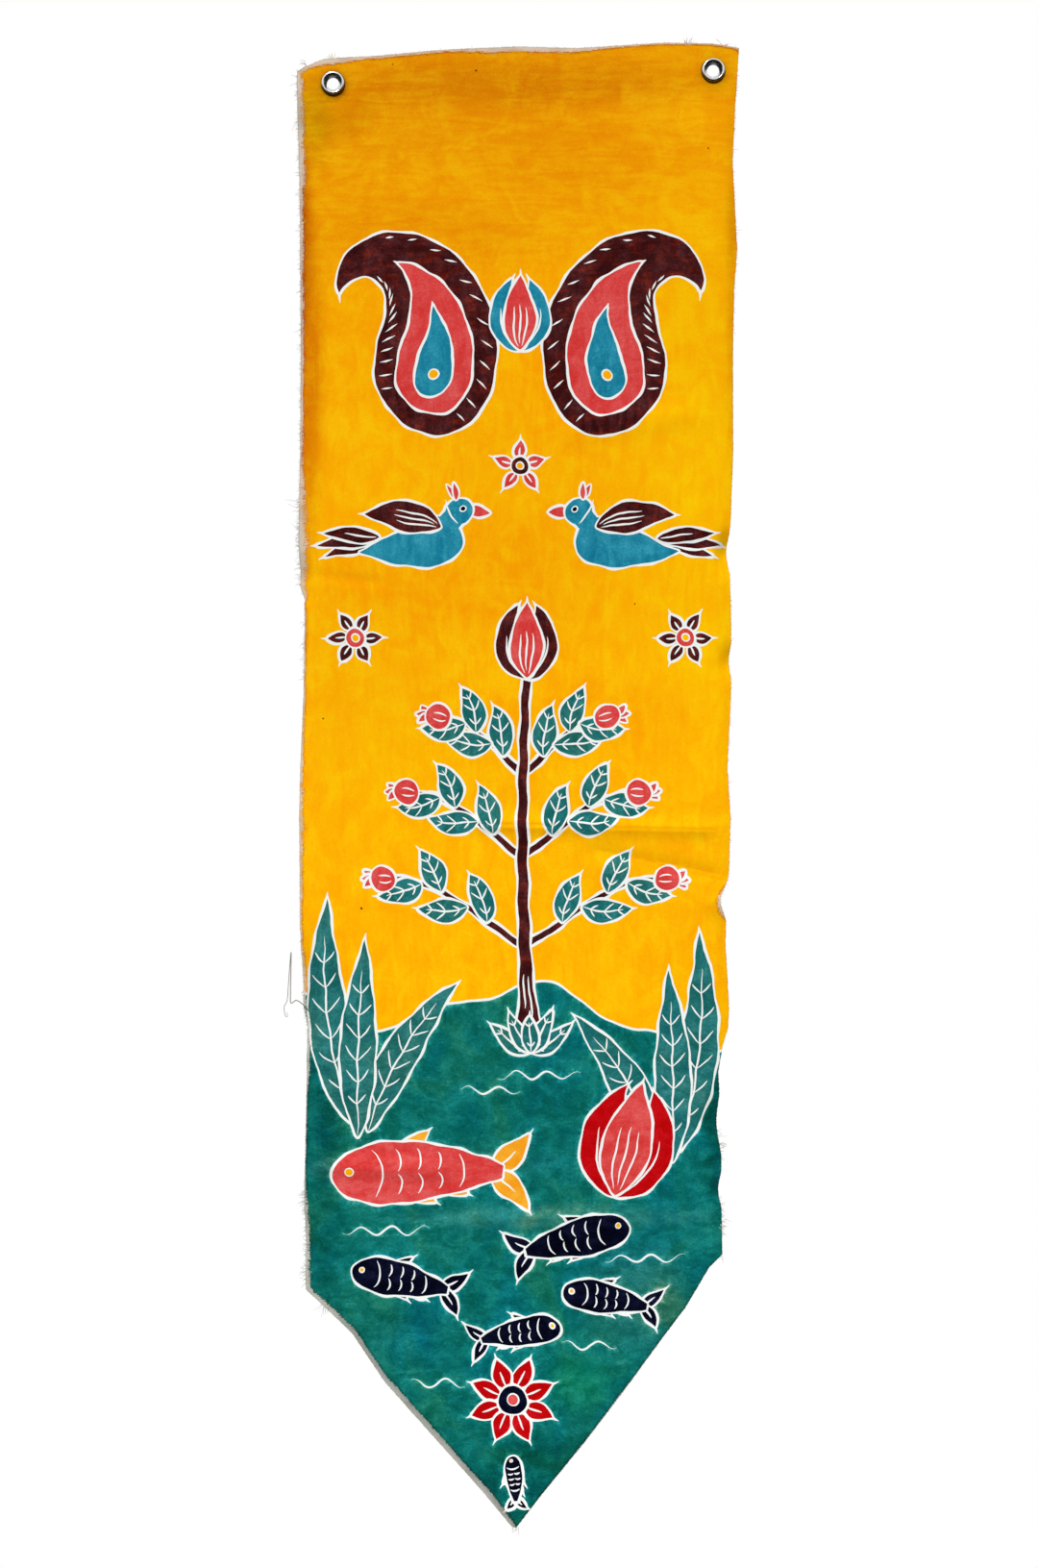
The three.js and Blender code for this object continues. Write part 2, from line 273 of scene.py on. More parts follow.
class BannerPaints(bpy.types.PropertyGroup):
    """Colours of the paints and the bare cotton."""

    cotton: colour_property("Bare cotton", "Unpainted cotton at the edges and on the back", (214, 208, 196))
    resist: colour_property("White line", "Cotton kept white between the paints", (240, 243, 240))
    orange: colour_property("Orange", "Upper field at the top of the banner", (232, 149, 1))
    yellow: colour_property("Yellow", "Upper field from its middle down", (254, 181, 1))
    green: colour_property("Green", "Lower field", (8, 106, 99))
    teal: colour_property("Teal", "Leaves", (34, 110, 108))
    blue: colour_property("Blue", "Birds, small drops and a tulip", (33, 133, 160))
    maroon: colour_property("Maroon", "Stems, paisleys and wings", (66, 24, 26))
    coral: colour_property("Coral", "Large fish, buds and small shapes", (216, 70, 68))
    red: colour_property("Red", "Bright flowers near the foot", (188, 6, 12))
    navy: colour_property("Navy", "Small fish", (6, 8, 30))


class BannerEyelet(bpy.types.PropertyGroup):
    """Sizes of one eyelet."""

    outer_radius: length_property("Outer radius", "Radius of the front flange", 0.0127)
    crest_radius: length_property("Crest radius", "Radius at which the flange stands proudest", 0.0103)
    bore_radius: length_property("Bore radius", "Radius of the open bore", 0.0062)
    rear_radius: length_property("Rear radius", "Radius of the rim behind the cloth", 0.0104)
    front_height: length_property("Front height", "How far the flange stands out of the cloth", 0.0039)
    rear_height: length_property("Rear height", "How far the rim stands out behind the cloth", 0.0017)
    metal: length_property("Metal", "Thickness of the pressed metal", 0.0005)


class BannerStage(bpy.types.PropertyGroup):
    """The camera, the light and the floor."""

    camera_distance: length_property("Camera distance", "From the camera to the cloth", 2.2)
    floor_drop: length_property("Floor drop", "From the banner's top edge down to the floor", 2.0)
    floor_radius: length_property("Floor radius", "Radius of the round floor", 0.85)
    key_strength: number_property("Key strength", "Strength of the light from the upper left", 2.38)
    back_strength: number_property("Back strength", "Strength of the light on the back", 1.6)
    sky_strength: number_property("Sky strength", "Strength of the light from all round", 0.8)


# Shape functions, as the solids use them


def smooth(t):
    """Zero below 0, one above 1, and a soft S between."""
    s = np.clip(t, 0, 1)
    return s * s * (3 - 2 * s)


def unit(vectors):
    """Vectors scaled to length 1."""
    return vectors / np.maximum(np.linalg.norm(vectors, axis=-1, keepdims=True), TINY)


def directions(angle):
    """Flat unit vectors at angles in radians."""
    return np.column_stack([np.cos(angle), np.sin(angle)])


def column(table, name):
    """One column of a table as an array."""
    return np.array([getattr(row, name) for row in table], float)


def curl_share(curl, drop):
    """1 at the middle of a curl, falling softly to 0 at its ends."""
    return smooth(1 - np.abs(drop - curl.drop) / curl.half_length)


def side_x(side, drop):
    """x of a side edge: straight lines between the stations, less the inset of each curl."""
    inward = 1 if side == "left" else -1
    x = np.interp(drop, column(SIDES, "drop"), column(SIDES, side))
    for curl in CURLS:
        if curl.side == side:
            x = x + inward * curl.inset * curl_share(curl, drop)
    return x


def crease_depth(crease, x, drop):
    """A soft ridge: its height, times an S across its half width, times an S at each end of its line."""
    along_x = crease.to_x - crease.from_x
    along_drop = crease.to_drop - crease.from_drop
    length = math.hypot(along_x, along_drop)
    along = ((x - crease.from_x) * along_x + (drop - crease.from_drop) * along_drop) / length
    across = ((drop - crease.from_drop) * along_x - (x - crease.from_x) * along_drop) / length
    fade = 2 * crease.half_width
    ends = smooth(along / fade) * smooth((length - along) / fade)
    return crease.height * ends * smooth(1 - np.abs(across) / crease.half_width)


def edge_depth(side, inward, drop):
    """How far back the cloth has turned at a distance in from a side edge."""
    depth = EDGE_CURL_DEPTH * smooth(1 - inward / EDGE_CURL_WIDTH) ** 2
    for curl in CURLS:
        if curl.side == side:
            depth = depth + curl.depth * curl_share(curl, drop) * smooth(1 - inward / curl.width)
    return depth


def away_from_eyelets(x, z):
    """0 on the flat cloth under an eyelet, growing to 1 around it."""
    share = np.ones_like(x)
    for place in EYELET_PLACES.values():
        distance = np.hypot(x - place[0], z - place[1])
        share = share * smooth((distance - FLAT_RADIUS) / FLAT_BLEND)
    return share


def relief(x, z):
    """y of the middle of the cloth: its edge curls, its slow waves, its creases and its pressed lines."""
    drop = -z
    depth = edge_depth("left", x - side_x("left", drop), drop)
    depth = depth + edge_depth("right", side_x("right", drop) - x, drop)
    for wave in WAVES:
        depth = depth + wave.height * np.sin(2 * np.pi * (x / wave.across + drop / wave.down + wave.phase))
    for crease in CREASES + PRESSED_LINES:
        depth = depth + crease_depth(crease, x, drop)
    return depth * away_from_eyelets(x, z)


def backward(x, z):
    """Unit vectors to the back of the cloth, from the slope of its relief."""
    slope_x = (relief(x + SLOPE_STEP, z) - relief(x - SLOPE_STEP, z)) / (2 * SLOPE_STEP)
    slope_z = (relief(x, z + SLOPE_STEP) - relief(x, z - SLOPE_STEP)) / (2 * SLOPE_STEP)
    return unit(np.column_stack([-slope_x, np.ones_like(x), -slope_z]))


def on_cloth(flat):
    """Places in space of flat points on the middle of the cloth."""
    x, z = flat[:, 0], flat[:, 1]
    return np.column_stack([x, relief(x, z), z])


# Flat outlines


def places_at(wanted, known, path):
    """Places on a path where a measure along it is as wanted. It is known at the path's own points."""
    return np.column_stack([np.interp(wanted, known, path[:, 0]), np.interp(wanted, known, path[:, 1])])


def resample(points, step):
    """Points a step apart along an open line."""
    lengths = np.concatenate([[0], np.cumsum(np.linalg.norm(np.diff(points, axis=0), axis=1))])
    count = max(2, int(round(lengths[-1] / step)) + 1)
    return places_at(np.linspace(0, lengths[-1], count), lengths, points)


def side_line(side, first_drop):
    """A side edge from its top corner to the tip."""
    drops = np.union1d(np.arange(first_drop, TIP, SIDE_STEP), column(SIDES, "drop"))
    drops = drops[drops >= first_drop]
    return np.column_stack([side_x(side, drops), -drops])


def top_line():
    """The top edge from left to right."""
    x = np.linspace(TOP_EDGE[0].x, TOP_EDGE[-1].x, TOP_POINTS)
    return np.column_stack([x, np.interp(x, column(TOP_EDGE, "x"), column(TOP_EDGE, "rise"))])


def normals_of(path):
    """Unit vectors a quarter turn anticlockwise from an open path."""
    tangent = np.gradient(path, axis=0)
    return unit(np.column_stack([-tangent[:, 1], tangent[:, 0]]))


def roughen(points, amount, rng):
    """Each point moved across the line by a random part of the amount."""
    return points + normals_of(points) * rng.uniform(-amount, amount, (len(points), 1))


def cloth_outline(step):
    """The raw edge, anticlockwise from the top left corner: left side, foot, right side, top."""
    rng = np.random.default_rng(EDGE_SEED)
    left = resample(side_line("left", -TOP_EDGE[0].rise), step)
    right = resample(side_line("right", -TOP_EDGE[-1].rise), step)[::-1]
    top = resample(top_line()[::-1], step)
    sides = [roughen(line, EDGE_ROUGHNESS, rng) for line in (left, right, top)]
    return np.vstack([line[:-1] for line in sides])


def circle(centre, radius, count):
    """Points round a circle: its centre plus its radius times the cosine and sine of even angles."""
    angle = np.linspace(0, 2 * np.pi, count, endpoint=False)
    return np.asarray(centre) + radius * directions(angle)


def shares(count):
    """Shares from 0 to 1 along a path, closer together at both ends: half of one minus a cosine."""
    return 0.5 - 0.5 * np.cos(np.pi * np.linspace(0, 1, count))


def curve(start, heading, length, bend=0.0, hook=0.0):
    """A path whose heading, in degrees, turns evenly by bend, and mostly near its end by hook."""
    share = shares(int(np.clip(length / CURVE_STEP, *CURVE_STEPS)) + 8)
    angle = np.radians(heading + bend * share + hook * share**3)
    middle = 0.5 * (angle[1:] + angle[:-1])
    steps = directions(middle) * (np.diff(share) * length)[:, None]
    return np.vstack([np.zeros(2), np.cumsum(steps, axis=0)]) + np.asarray(start)


def direction_of(heading):
    """Unit vector along a heading in degrees."""
    return np.array([math.cos(math.radians(heading)), math.sin(math.radians(heading))])


def part_of(path, first, last):
    """The part of a path between two shares of it, with as many points."""
    share = shares(len(path))
    return places_at(first + (last - first) * share, share, path)


def place_on(path, share):
    """The point at a share of a path, and the path's heading there in degrees."""
    here = part_of(path, max(share - 0.01, 0), min(share + 0.01, 1))
    along = here[-1] - here[0]
    return here[len(here) // 2], math.degrees(math.atan2(along[1], along[0]))


def leaf_profile(share):
    """Half width of a leaf: a sine that swells in the first half and runs to a point."""
    return np.sin(np.pi * share**0.8) ** 0.95


def drop_profile(share):
    """Half width of a drop: round at its start and pointed at its end."""
    return np.sin(np.pi * np.clip(share, 0, 1) ** 0.52) ** 0.92


def stem_profile(share):
    """Half width of a stem: even, a little thinner toward its end."""
    return 1 - 0.45 * share


def trunk_profile(share):
    """Half width of a trunk: like a stem, and spread at its foot."""
    return 1 - 0.40 * share + 1.5 * (1 - share) ** 14


def body_profile(share):
    """Half width of a fish: blunt at the nose and slim at the tail."""
    return np.sin(np.pi * np.clip(share * 0.93, 0, 1) ** 0.62) ** 0.8


def vein_profile(share):
    """Half width of a white vein: the root of a sine, so round at both ends."""
    return np.sqrt(np.sin(np.pi * np.clip(share, 0.004, 0.996)))


def ribbon(path, half_width):
    """Outline of a band: the path plus and minus its normal times the half width."""
    offset = normals_of(path) * half_width[:, None]
    return np.vstack([path + offset, (path - offset)[::-1]])


def half_widths(path, width, profile):
    """Half width of a shape at each point of its path."""
    return 0.5 * width * profile(shares(len(path)))


def signed_area(outline):
    """Area inside a closed outline, positive where it runs anticlockwise."""
    following = np.roll(outline, -1, axis=0)
    return 0.5 * np.sum(outline[:, 0] * following[:, 1] - following[:, 0] * outline[:, 1])


def without_doubles(outline):
    """A closed outline with no two points in a row at one place."""
    apart = np.linalg.norm(outline - np.roll(outline, 1, axis=0), axis=1) > SMALLEST_STEP
    return outline[apart]


def grow(outline, amount):
    """A closed outline with each point moved out by about an amount, a little more here and less there."""
    outline = without_doubles(outline)
    tangent = np.roll(outline, -1, axis=0) - np.roll(outline, 1, axis=0)
    normal = unit(np.column_stack([tangent[:, 1], -tangent[:, 0]]))
    uneven = 1 + 0.28 * np.sin(190 * outline[:, :1] + 130 * outline[:, 1:])
    return outline + normal * amount * uneven * np.sign(signed_area(outline))


def wobble(points):
    """Hand-drawn unevenness: each point moved by up to a millimetre by two waves in X and two in Z."""
    x, z = points[:, 0], points[:, 1]
    shift_x = 0.7 * np.sin(150 * z + 40 * x) + 0.14 * np.sin(420 * z - 310 * x)
    shift_z = 0.7 * np.sin(160 * x - 60 * z) + 0.14 * np.sin(400 * x + 350 * z)
    return points + np.column_stack([shift_x, shift_z]) * MM


class Painting:
    """The painted shapes in the order in which they go on, each a closed flat outline and a paint.

    Shapes are drawn round a place on the cloth, turned by an angle and mirrored where facing is -1.
    """

    def __init__(self, line):
        self.line = line
        self.shapes = []
        self.move_to(0, 0)

    def move_to(self, x, drop, turn=0.0, facing=1):
        """Later shapes are drawn round this place."""
        angle = math.radians(turn)
        self.place = np.array([x, -drop])
        self.axes = np.array([[math.cos(angle), math.sin(angle)], [-math.sin(angle), math.cos(angle)]])
        self.facing = np.array([facing, 1])

    def fill(self, outline, paint):
        """A closed outline in one paint."""
        drawn = without_doubles(wobble((outline @ self.axes) * self.facing + self.place))
        if signed_area(drawn) < 0:
            drawn = drawn[::-1]
        self.shapes.append((drawn, paint))

    def outlined(self, outlines, paint):
        """Shapes that run into one another, with a white line round them all."""
        for outline in outlines:
            self.fill(grow(outline, self.line), "resist")
        for outline in outlines:
            self.fill(outline, paint)

    def band(self, path, width, profile, paint, tip=0.007):
        """A shape along a path with a white line round it, which runs on past the far tip."""
        if tip:
            past = path[-1] + (path[-1] - path[-3]) * tip / np.linalg.norm(path[-1] - path[-3])
            spike = np.linspace(path[-4], past, 8)
            self.fill(ribbon(spike, self.line * np.linspace(0.9, 0.12, 8)), "resist")
        self.outlined([ribbon(path, half_widths(path, width, profile))], paint)

    def vein(self, path, width=1.0):
        """A bare white line along a path."""
        self.fill(ribbon(path, half_widths(path, width * self.line, vein_profile)), "resist")

    def inner_lines(self, path, width, profile, offsets, first=0.05, last=0.62):
        """White lines inside a shape, each keeping its share of the way from the middle to the edge."""
        half = half_widths(path, width, profile)
        for i, offset in enumerate(offsets):
            line = path + normals_of(path) * (half * offset)[:, None]
            self.vein(part_of(line, first + 0.04 * (i % 2), last - 0.08 * abs(offset)), 0.85)

    def spot(self, centre, radius, paint, line=0.9):
        """A round spot with a white line round it."""
        round_outline = circle(centre, radius, max(12, int(radius * 2600)))
        if line:
            self.fill(grow(round_outline, self.line * line), "resist")
        self.fill(round_outline, paint)


def leaf(painting, start, heading, length, width, paint, bend=0.0, pairs=0):
    """A leaf with a white midrib and pairs of white side veins that curve toward its tip."""
    path = curve(start, heading, length, bend)
    painting.band(path, width, leaf_profile, paint)
    painting.vein(part_of(path, 0.0, 0.84), 0.85)
    for share in np.linspace(0.16, 0.72, pairs):
        foot, direction = place_on(path, share)
        reach = 0.5 * width * float(leaf_profile(np.array(share))) * 1.12
        for side in (-1, 1):
            painting.vein(curve(foot, direction + side * 52, reach, -side * 22), 0.7)


def petal(painting, path, width, paint, lines=(-0.36, 0.02, 0.40)):
    """A petal with a few white lines that run up from its foot."""
    painting.band(path, width, leaf_profile, paint)
    painting.inner_lines(path, width, leaf_profile, lines)


def paisley(painting, length):
    """A large hooked drop, a smaller one in it, a third in that, and white strokes across its border."""
    path = curve((0, 0), 118, length, -58, -150)
    painting.band(path, 0.46 * length, drop_profile, "maroon", tip=0.011)
    half = half_widths(path, 0.46 * length, drop_profile)
    normals = normals_of(path)
    for share in np.linspace(0.09, 0.74, 12):
        i = int(np.searchsorted(shares(len(path)), share))
        for side in (-1, 1):
            far = path[i] + side * normals[i] * (half[i] - 0.0045)
            near = path[i] + side * normals[i] * max(half[i] * 0.70, half[i] - 0.017)
            near = near + (path[i] - path[i - 1]) * 2.0
            painting.vein(np.linspace(near, far, 8), 0.8)
    painting.band(part_of(path, 0.075, 0.70), 0.285 * length, drop_profile, "coral", tip=0.006)
    painting.band(part_of(path, 0.135, 0.48), 0.135 * length, drop_profile, "blue", tip=0.005)
    painting.spot(place_on(path, 0.22)[0], 0.0045, "yellow", 0.7)


def flower(painting, radius, petals, paint, core, middle, turn=0.0):
    """A round flower: petals round a core with a spot in its middle."""
    for i in range(petals):
        heading = turn + 360 * i / petals
        foot = 0.30 * radius * direction_of(heading)
        petal(painting, curve(foot, heading, 0.70 * radius), 0.40 * radius, paint, (0.0,))
    painting.spot((0, 0), 0.33 * radius, core)
    painting.spot((0, 0), 0.12 * radius, middle, 0.6)


def tulip(painting, size, outer, inner):
    """A flower of two outer petals that curve apart and one in the middle, all with white lines."""
    for side in (-1, 1):
        petal(painting, curve((0, 0), 90 + 44 * side, size, -74 * side), 0.36 * size, outer, (-0.3, 0.25))
    petal(painting, curve((0, 0.01 * size), 90, size * 0.96), 0.40 * size, inner, (-0.42, 0.0, 0.42))


def bird(painting):
    """A bird that faces right: a drop as its body, a round head, and leaves as wing, tail and beak."""
    for heading, length in ((196, 0.060), (184, 0.066), (172, 0.058)):
        petal(painting, curve((-0.046, -0.006), heading, length, 6), 0.0145, "maroon", (0.0,))
    painting.band(curve((0.046, 0.0225), -6, 0.022), 0.0105, leaf_profile, "coral", tip=0.003)
    back = curve((0.038, 0.000), 202, 0.108, -22)
    body = ribbon(back, half_widths(back, 0.050, drop_profile))
    neck = ribbon(np.linspace((0.020, 0.002), (0.037, 0.021), 8), np.full(8, 0.0115))
    painting.outlined([body, neck, circle((0.0365, 0.021), 0.0138, 40)], "blue")
    painting.vein(curve((0.022, 0.034), -78, 0.030, 34), 0.8)
    petal(painting, curve((0.018, 0.006), 158, 0.082, 26), 0.031, "maroon", (-0.34, 0.04, 0.42))
    painting.spot((0.0405, 0.0238), 0.0024, "navy", 0.75)
    for heading in (112, 84):
        painting.band(curve((0.033, 0.034), heading, 0.017, 18), 0.0052, leaf_profile, "coral", tip=0)


def fish(painting, length, paint, fin):
    """A fish that faces right: a body, a forked tail, fins, a gill, rows of white scales and an eye."""
    body = curve((0.5 * length, 0), 180, length * 0.86, 8)
    root, _ = place_on(body, 0.93)
    for side in (-1, 1):
        petal(painting, curve(root, 187 + 34 * side, 0.27 * length, 22 * side), 0.115 * length, fin, (0.0,))
    for share, reach, side in ((0.34, 0.28, -1), (0.36, 0.26, 1), (0.60, 0.20, 1)):
        foot, _ = place_on(body, share)
        path = curve(foot, 180 + 50 * side, reach * length, -16 * side)
        petal(painting, path, 0.11 * length, fin, (0.0,))
    half = half_widths(body, 0.31 * length, body_profile)
    painting.outlined([ribbon(body, half)], paint)
    for share, arcs in ((0.24, 1), (0.38, 2), (0.50, 2), (0.62, 2), (0.74, 1)):
        foot, heading = place_on(body, share)
        reach = 2 * float(np.interp(share, shares(len(body)), half)) * (0.80 if arcs == 1 else 0.36)
        for i in range(arcs):
            across = reach * (0.5 if arcs == 1 else (1.08, -0.04)[i])
            start = foot + across * direction_of(heading - 90)
            painting.vein(curve(start, heading + 48, reach * 1.08, 84), 0.75)
    painting.spot(place_on(body, 0.10)[0] + (0, 0.026 * length), 0.018 * length, "yellow", 0.6)


def fruit(painting, centre, radius, heading):
    """A round fruit with a small crown and two white lines."""
    crown = np.asarray(centre) + radius * 0.8 * direction_of(heading)
    for spread in (-42, 0, 42):
        point = curve(crown, heading + spread, radius)
        painting.band(point, radius * 0.50, leaf_profile, "coral", tip=0)
    painting.spot(centre, radius, "coral")
    foot = np.asarray(centre) - radius * 0.7 * direction_of(heading)
    for side in (-1, 1):
        start = foot + radius * 0.16 * direction_of(heading + 90 * side)
        painting.vein(curve(start, heading + 26 * side, radius * 1.1, -44 * side), 0.7)


def hill_line(x):
    """z of the hill tops: two slow waves across the cloth, a little lower to the right."""
    return -1.004 + 0.026 * np.sin(19 * x + 1.3) + 0.007 * np.sin(52 * x) - 0.07 * x


def hills(painting):
    """The green field below the hill line, with a white line along its top."""
    x = np.linspace(-0.26, 0.26, 150)
    crest = np.column_stack([x, hill_line(x)])
    below = np.array([[0.26, -1.60], [-0.26, -1.60]])
    painting.fill(np.vstack([crest + (0, painting.line * 1.1), below]), "resist")
    painting.fill(np.vstack([crest, below]), "green")


def tree(painting):
    """A tree with leaves at its foot, bowed branches with leaves and fruit, and a flower on top."""
    trunk = curve((0.010, -1.030), 94, 0.372, -7)
    for share, reach, lean in ((0.25, 0.158, 58), (0.50, 0.132, 54), (0.73, 0.100, 48)):
        foot, _ = place_on(trunk, share)
        for side in (-1, 1):
            branch = curve(foot, 90 - side * lean, reach, side * 14, side * -48)
            painting.band(branch, 0.0062, stem_profile, "maroon", tip=0)
            for along, swing in ((0.30, 1), (0.46, -1), (0.66, 1), (0.80, -1)):
                at, direction = place_on(branch, along)
                leaf(painting, at, direction + swing * 50 * side, 0.056 - 0.012 * along, 0.0235, "teal",
                     -swing * 30 * side, pairs=3)
            tip, direction = place_on(branch, 1.0)
            fruit(painting, tip + 0.010 * direction_of(direction), 0.0125, direction)
    painting.band(trunk, 0.0125, trunk_profile, "maroon", tip=0)
    painting.inner_lines(trunk, 0.0125, trunk_profile, (-0.4, 0.35), 0.04, 0.2)
    for heading, length in ((156, 0.050), (24, 0.052), (124, 0.046), (58, 0.048), (92, 0.038)):
        leaf(painting, (0.011, -1.047), heading, length, 0.0165, "teal", (90 - heading) * 0.35, pairs=2)
    painting.move_to(*(trunk[-1] * (1, -1)))
    tulip(painting, 0.082, "maroon", "coral")
    painting.move_to(0, 0)


def blades(painting):
    """Tall slender leaves at both sides of the banner, three to a side."""
    for x, drop, heading, length, width, bend in (
        (-0.176, 1.120, 108, 0.235, 0.040, -24),
        (-0.158, 1.128, 74, 0.180, 0.036, -30),
        (-0.168, 1.134, 92, 0.205, 0.036, -8),
        (0.166, 1.150, 74, 0.230, 0.038, 22),
        (0.146, 1.158, 106, 0.175, 0.036, 30),
        (0.158, 1.162, 88, 0.200, 0.036, 6),
    ):
        leaf(painting, (x, -drop), heading, length, width, "teal", bend, pairs=6)


def water_lines(painting):
    """White waves in the green field, each a short sine."""
    for x, drop, length in (
        (0.020, 1.070, 0.086),
        (-0.030, 1.086, 0.060),
        (-0.140, 1.232, 0.090),
        (0.130, 1.262, 0.084),
        (0.072, 1.352, 0.056),
        (-0.086, 1.392, 0.056),
    ):
        along = np.linspace(-length / 2, length / 2, 40)
        painting.vein(np.column_stack([x + along, -drop + 0.0042 * np.sin(2 * np.pi * along / 0.032)]), 0.9)


SPECKS = [
    (-0.046, -0.026, 0.0011), (-0.132, -0.018, 0.0008), (-0.165, -0.898, 0.0013),
    (0.196, -0.108, 0.0009), (0.120, -0.580, 0.0008), (-0.205, -0.700, 0.0009), (0.020, -1.210, 0.0010),
]


def paint_design(line):
    """All painted shapes of the banner, from the green field to the last dark speck."""
    painting = Painting(line)
    hills(painting)
    blades(painting)
    for side in (-1, 1):
        painting.move_to(0.112 * side, 0.398, facing=side)
        paisley(painting, 0.272)
        painting.move_to(0.099 * side - 0.001, 0.506, facing=-side)
        bird(painting)
        painting.move_to(0.172 * side, 0.616)
        flower(painting, 0.028, 6, "maroon", "coral", "yellow")
    painting.move_to(0.0, 0.318)
    tulip(painting, 0.080, "blue", "coral")
    painting.move_to(0.0, 0.438)
    flower(painting, 0.027, 5, "coral", "maroon", "yellow", 90)
    painting.move_to(0, 0)
    tree(painting)
    water_lines(painting)
    for x, drop, turn, facing, length, paint, fin in (
        (-0.092, 1.166, 6, -1, 0.205, "coral", "trim"),
        (-0.116, 1.282, -8, -1, 0.118, "navy", "navy"),
        (0.050, 1.240, 10, 1, 0.128, "navy", "navy"),
        (0.096, 1.302, -6, -1, 0.104, "navy", "navy"),
        (-0.006, 1.338, 6, 1, 0.096, "navy", "navy"),
    ):
        painting.move_to(x, drop, turn * facing, facing)
        fish(painting, length, paint, fin)
    painting.move_to(0.098, 1.196, -14)
    tulip(painting, 0.124, "red", "coral")
    painting.move_to(-0.008, 1.410)
    flower(painting, 0.045, 8, "red", "navy", "coral", 22)
    painting.move_to(-0.007, 1.496, 90)
    fish(painting, 0.056, "navy", "navy")
    painting.move_to(0, 0)
    for x, z, radius in SPECKS:
        painting.spot((x, z), radius, "speck", 0)
    return painting.shapes


# The cloth as a mesh

CREASE_POINT_STEP = 0.004
NEAR_EDGE = np.array([0.0018, 0.0045, 0.0080, 0.0120, 0.0170, 0.0230])
EYELET_RINGS = (0.0112, 0.0135, 0.0160)
CLEAR_OF_EDGE = 0.0012
CLEAR_OF_HOLE = 0.0008
MARGIN_STEP = 0.002
JOIN_MM = 0.01
BACK_JOIN_MM = 0.001
SHARP_ANGLE = 50


def crease_points(crease):
    """Points in rows along a pressed line, close enough together to carry its ridge."""
    ends = np.array([[crease.from_x, -crease.from_drop], [crease.to_x, -crease.to_drop]])
    line = resample(ends, CREASE_POINT_STEP)
    across = normals_of(line) * crease.half_width
    return np.vstack([line + offset * across for offset in (-1.5, -1, -0.5, 0, 0.5, 1, 1.5)])


def level_row(drop, grid):
    """Points on a level row inside the raw edge, closer together near both side edges."""
    left, right = (float(side_x(side, np.array(drop))) for side in ("left", "right"))
    middle = np.arange(left + NEAR_EDGE[-1] + grid, right - NEAR_EDGE[-1] - grid / 2, grid)
    x = np.concatenate([left + NEAR_EDGE, middle, right - NEAR_EDGE])
    return np.column_stack([x, np.full(len(x), -drop)])


def grid_points(grid):
    """Points all over the cloth, closer together near its side edges, its pressed lines and its eyelets."""
    places = EYELET_PLACES.values()
    parts = [crease_points(crease) for crease in PRESSED_LINES]
    parts += [circle(place, radius, HOLE_POINTS) for place in places for radius in EYELET_RINGS]
    parts += [level_row(drop, grid) for drop in np.arange(SIDE_STEP, TIP - SIDE_STEP, grid)]
    points = np.vstack(parts)
    keep = inside_raw_edge(points[:, 0], -points[:, 1]).min(axis=0) > CLEAR_OF_EDGE
    for x, z in places:
        keep &= np.hypot(points[:, 0] - x, points[:, 1] - z) > HOLE_RADIUS + CLEAR_OF_HOLE
    return points[keep]


def inside_raw_edge(x, drop):
    """How far a place lies inside the left, the right and the top edge, measured square to each side."""
    found = []
    for side, sign in (("left", 1), ("right", -1)):
        further, nearer = side_x(side, drop + MARGIN_STEP), side_x(side, drop - MARGIN_STEP)
        slope = (further - nearer) / (2 * MARGIN_STEP)
        found.append(sign * (x - side_x(side, drop)) / np.hypot(1, slope))
    found.append(np.interp(x, column(TOP_EDGE, "x"), column(TOP_EDGE, "rise")) + drop)
    return np.array(found)


def paint_margins(x, drop):
    """How far a place lies inside the edge of the paint, and how ragged that edge is there."""
    drops = column(SIDE_MARGINS, "drop")
    widths = [np.interp(drop, drops, column(SIDE_MARGINS, side)) for side in ("left", "right")]
    widths.append(np.interp(x, column(TOP_MARGINS, "x"), column(TOP_MARGINS, "width")))
    inside = inside_raw_edge(x, drop) - widths
    nearest = inside.argmin(axis=0)
    chosen = np.take_along_axis(np.array(widths), nearest[None], axis=0)[0]
    at_sides = np.interp(drop, RAGGED_DROPS, RAGGED_SHARES)
    share = np.where(nearest == 2, RAGGED_AT_TOP, at_sides)
    return inside.min(axis=0), LEAST_RAGGED + share * np.maximum(chosen, 0)


def triangulate(outlines, points):
    """Flat triangles that follow every outline, kept inside the first and outside the eyelet holes.

    Returns the points, the triangles, the last outline round each triangle, and where each point went.
    """
    chains = np.vstack([*outlines, points]) / MM
    ends = np.cumsum([0] + [len(outline) for outline in outlines])
    loops = [list(range(first, last)) for first, last in zip(ends, ends[1:], strict=False)]
    found = delaunay_2d_cdt([Vector(place) for place in chains], [], loops, 0, JOIN_MM, True)
    flat = np.array([vertex[:] for vertex in found[0]]) * MM
    holes = set(range(1, 1 + len(EYELET_PLACES)))
    kept = [i for i, owners in enumerate(found[5]) if 0 in owners and not holes.intersection(owners)]
    last_owner = np.array([max(found[5][i]) for i in kept])
    went_to = np.zeros(len(chains), int)
    for vertex, sources in enumerate(found[3]):
        went_to[sources] = vertex
    return flat, np.array([found[2][i] for i in kept]), last_owner, went_to[ends[-1] :]


def open_edges(triangles):
    """Edges used by one triangle only, each in the direction in which its triangle runs."""
    edges = np.vstack([triangles[:, [0, 1]], triangles[:, [1, 2]], triangles[:, [2, 0]]])
    _, index, uses = np.unique(np.sort(edges, axis=1), axis=0, return_index=True, return_counts=True)
    return edges[index[uses == 1]]


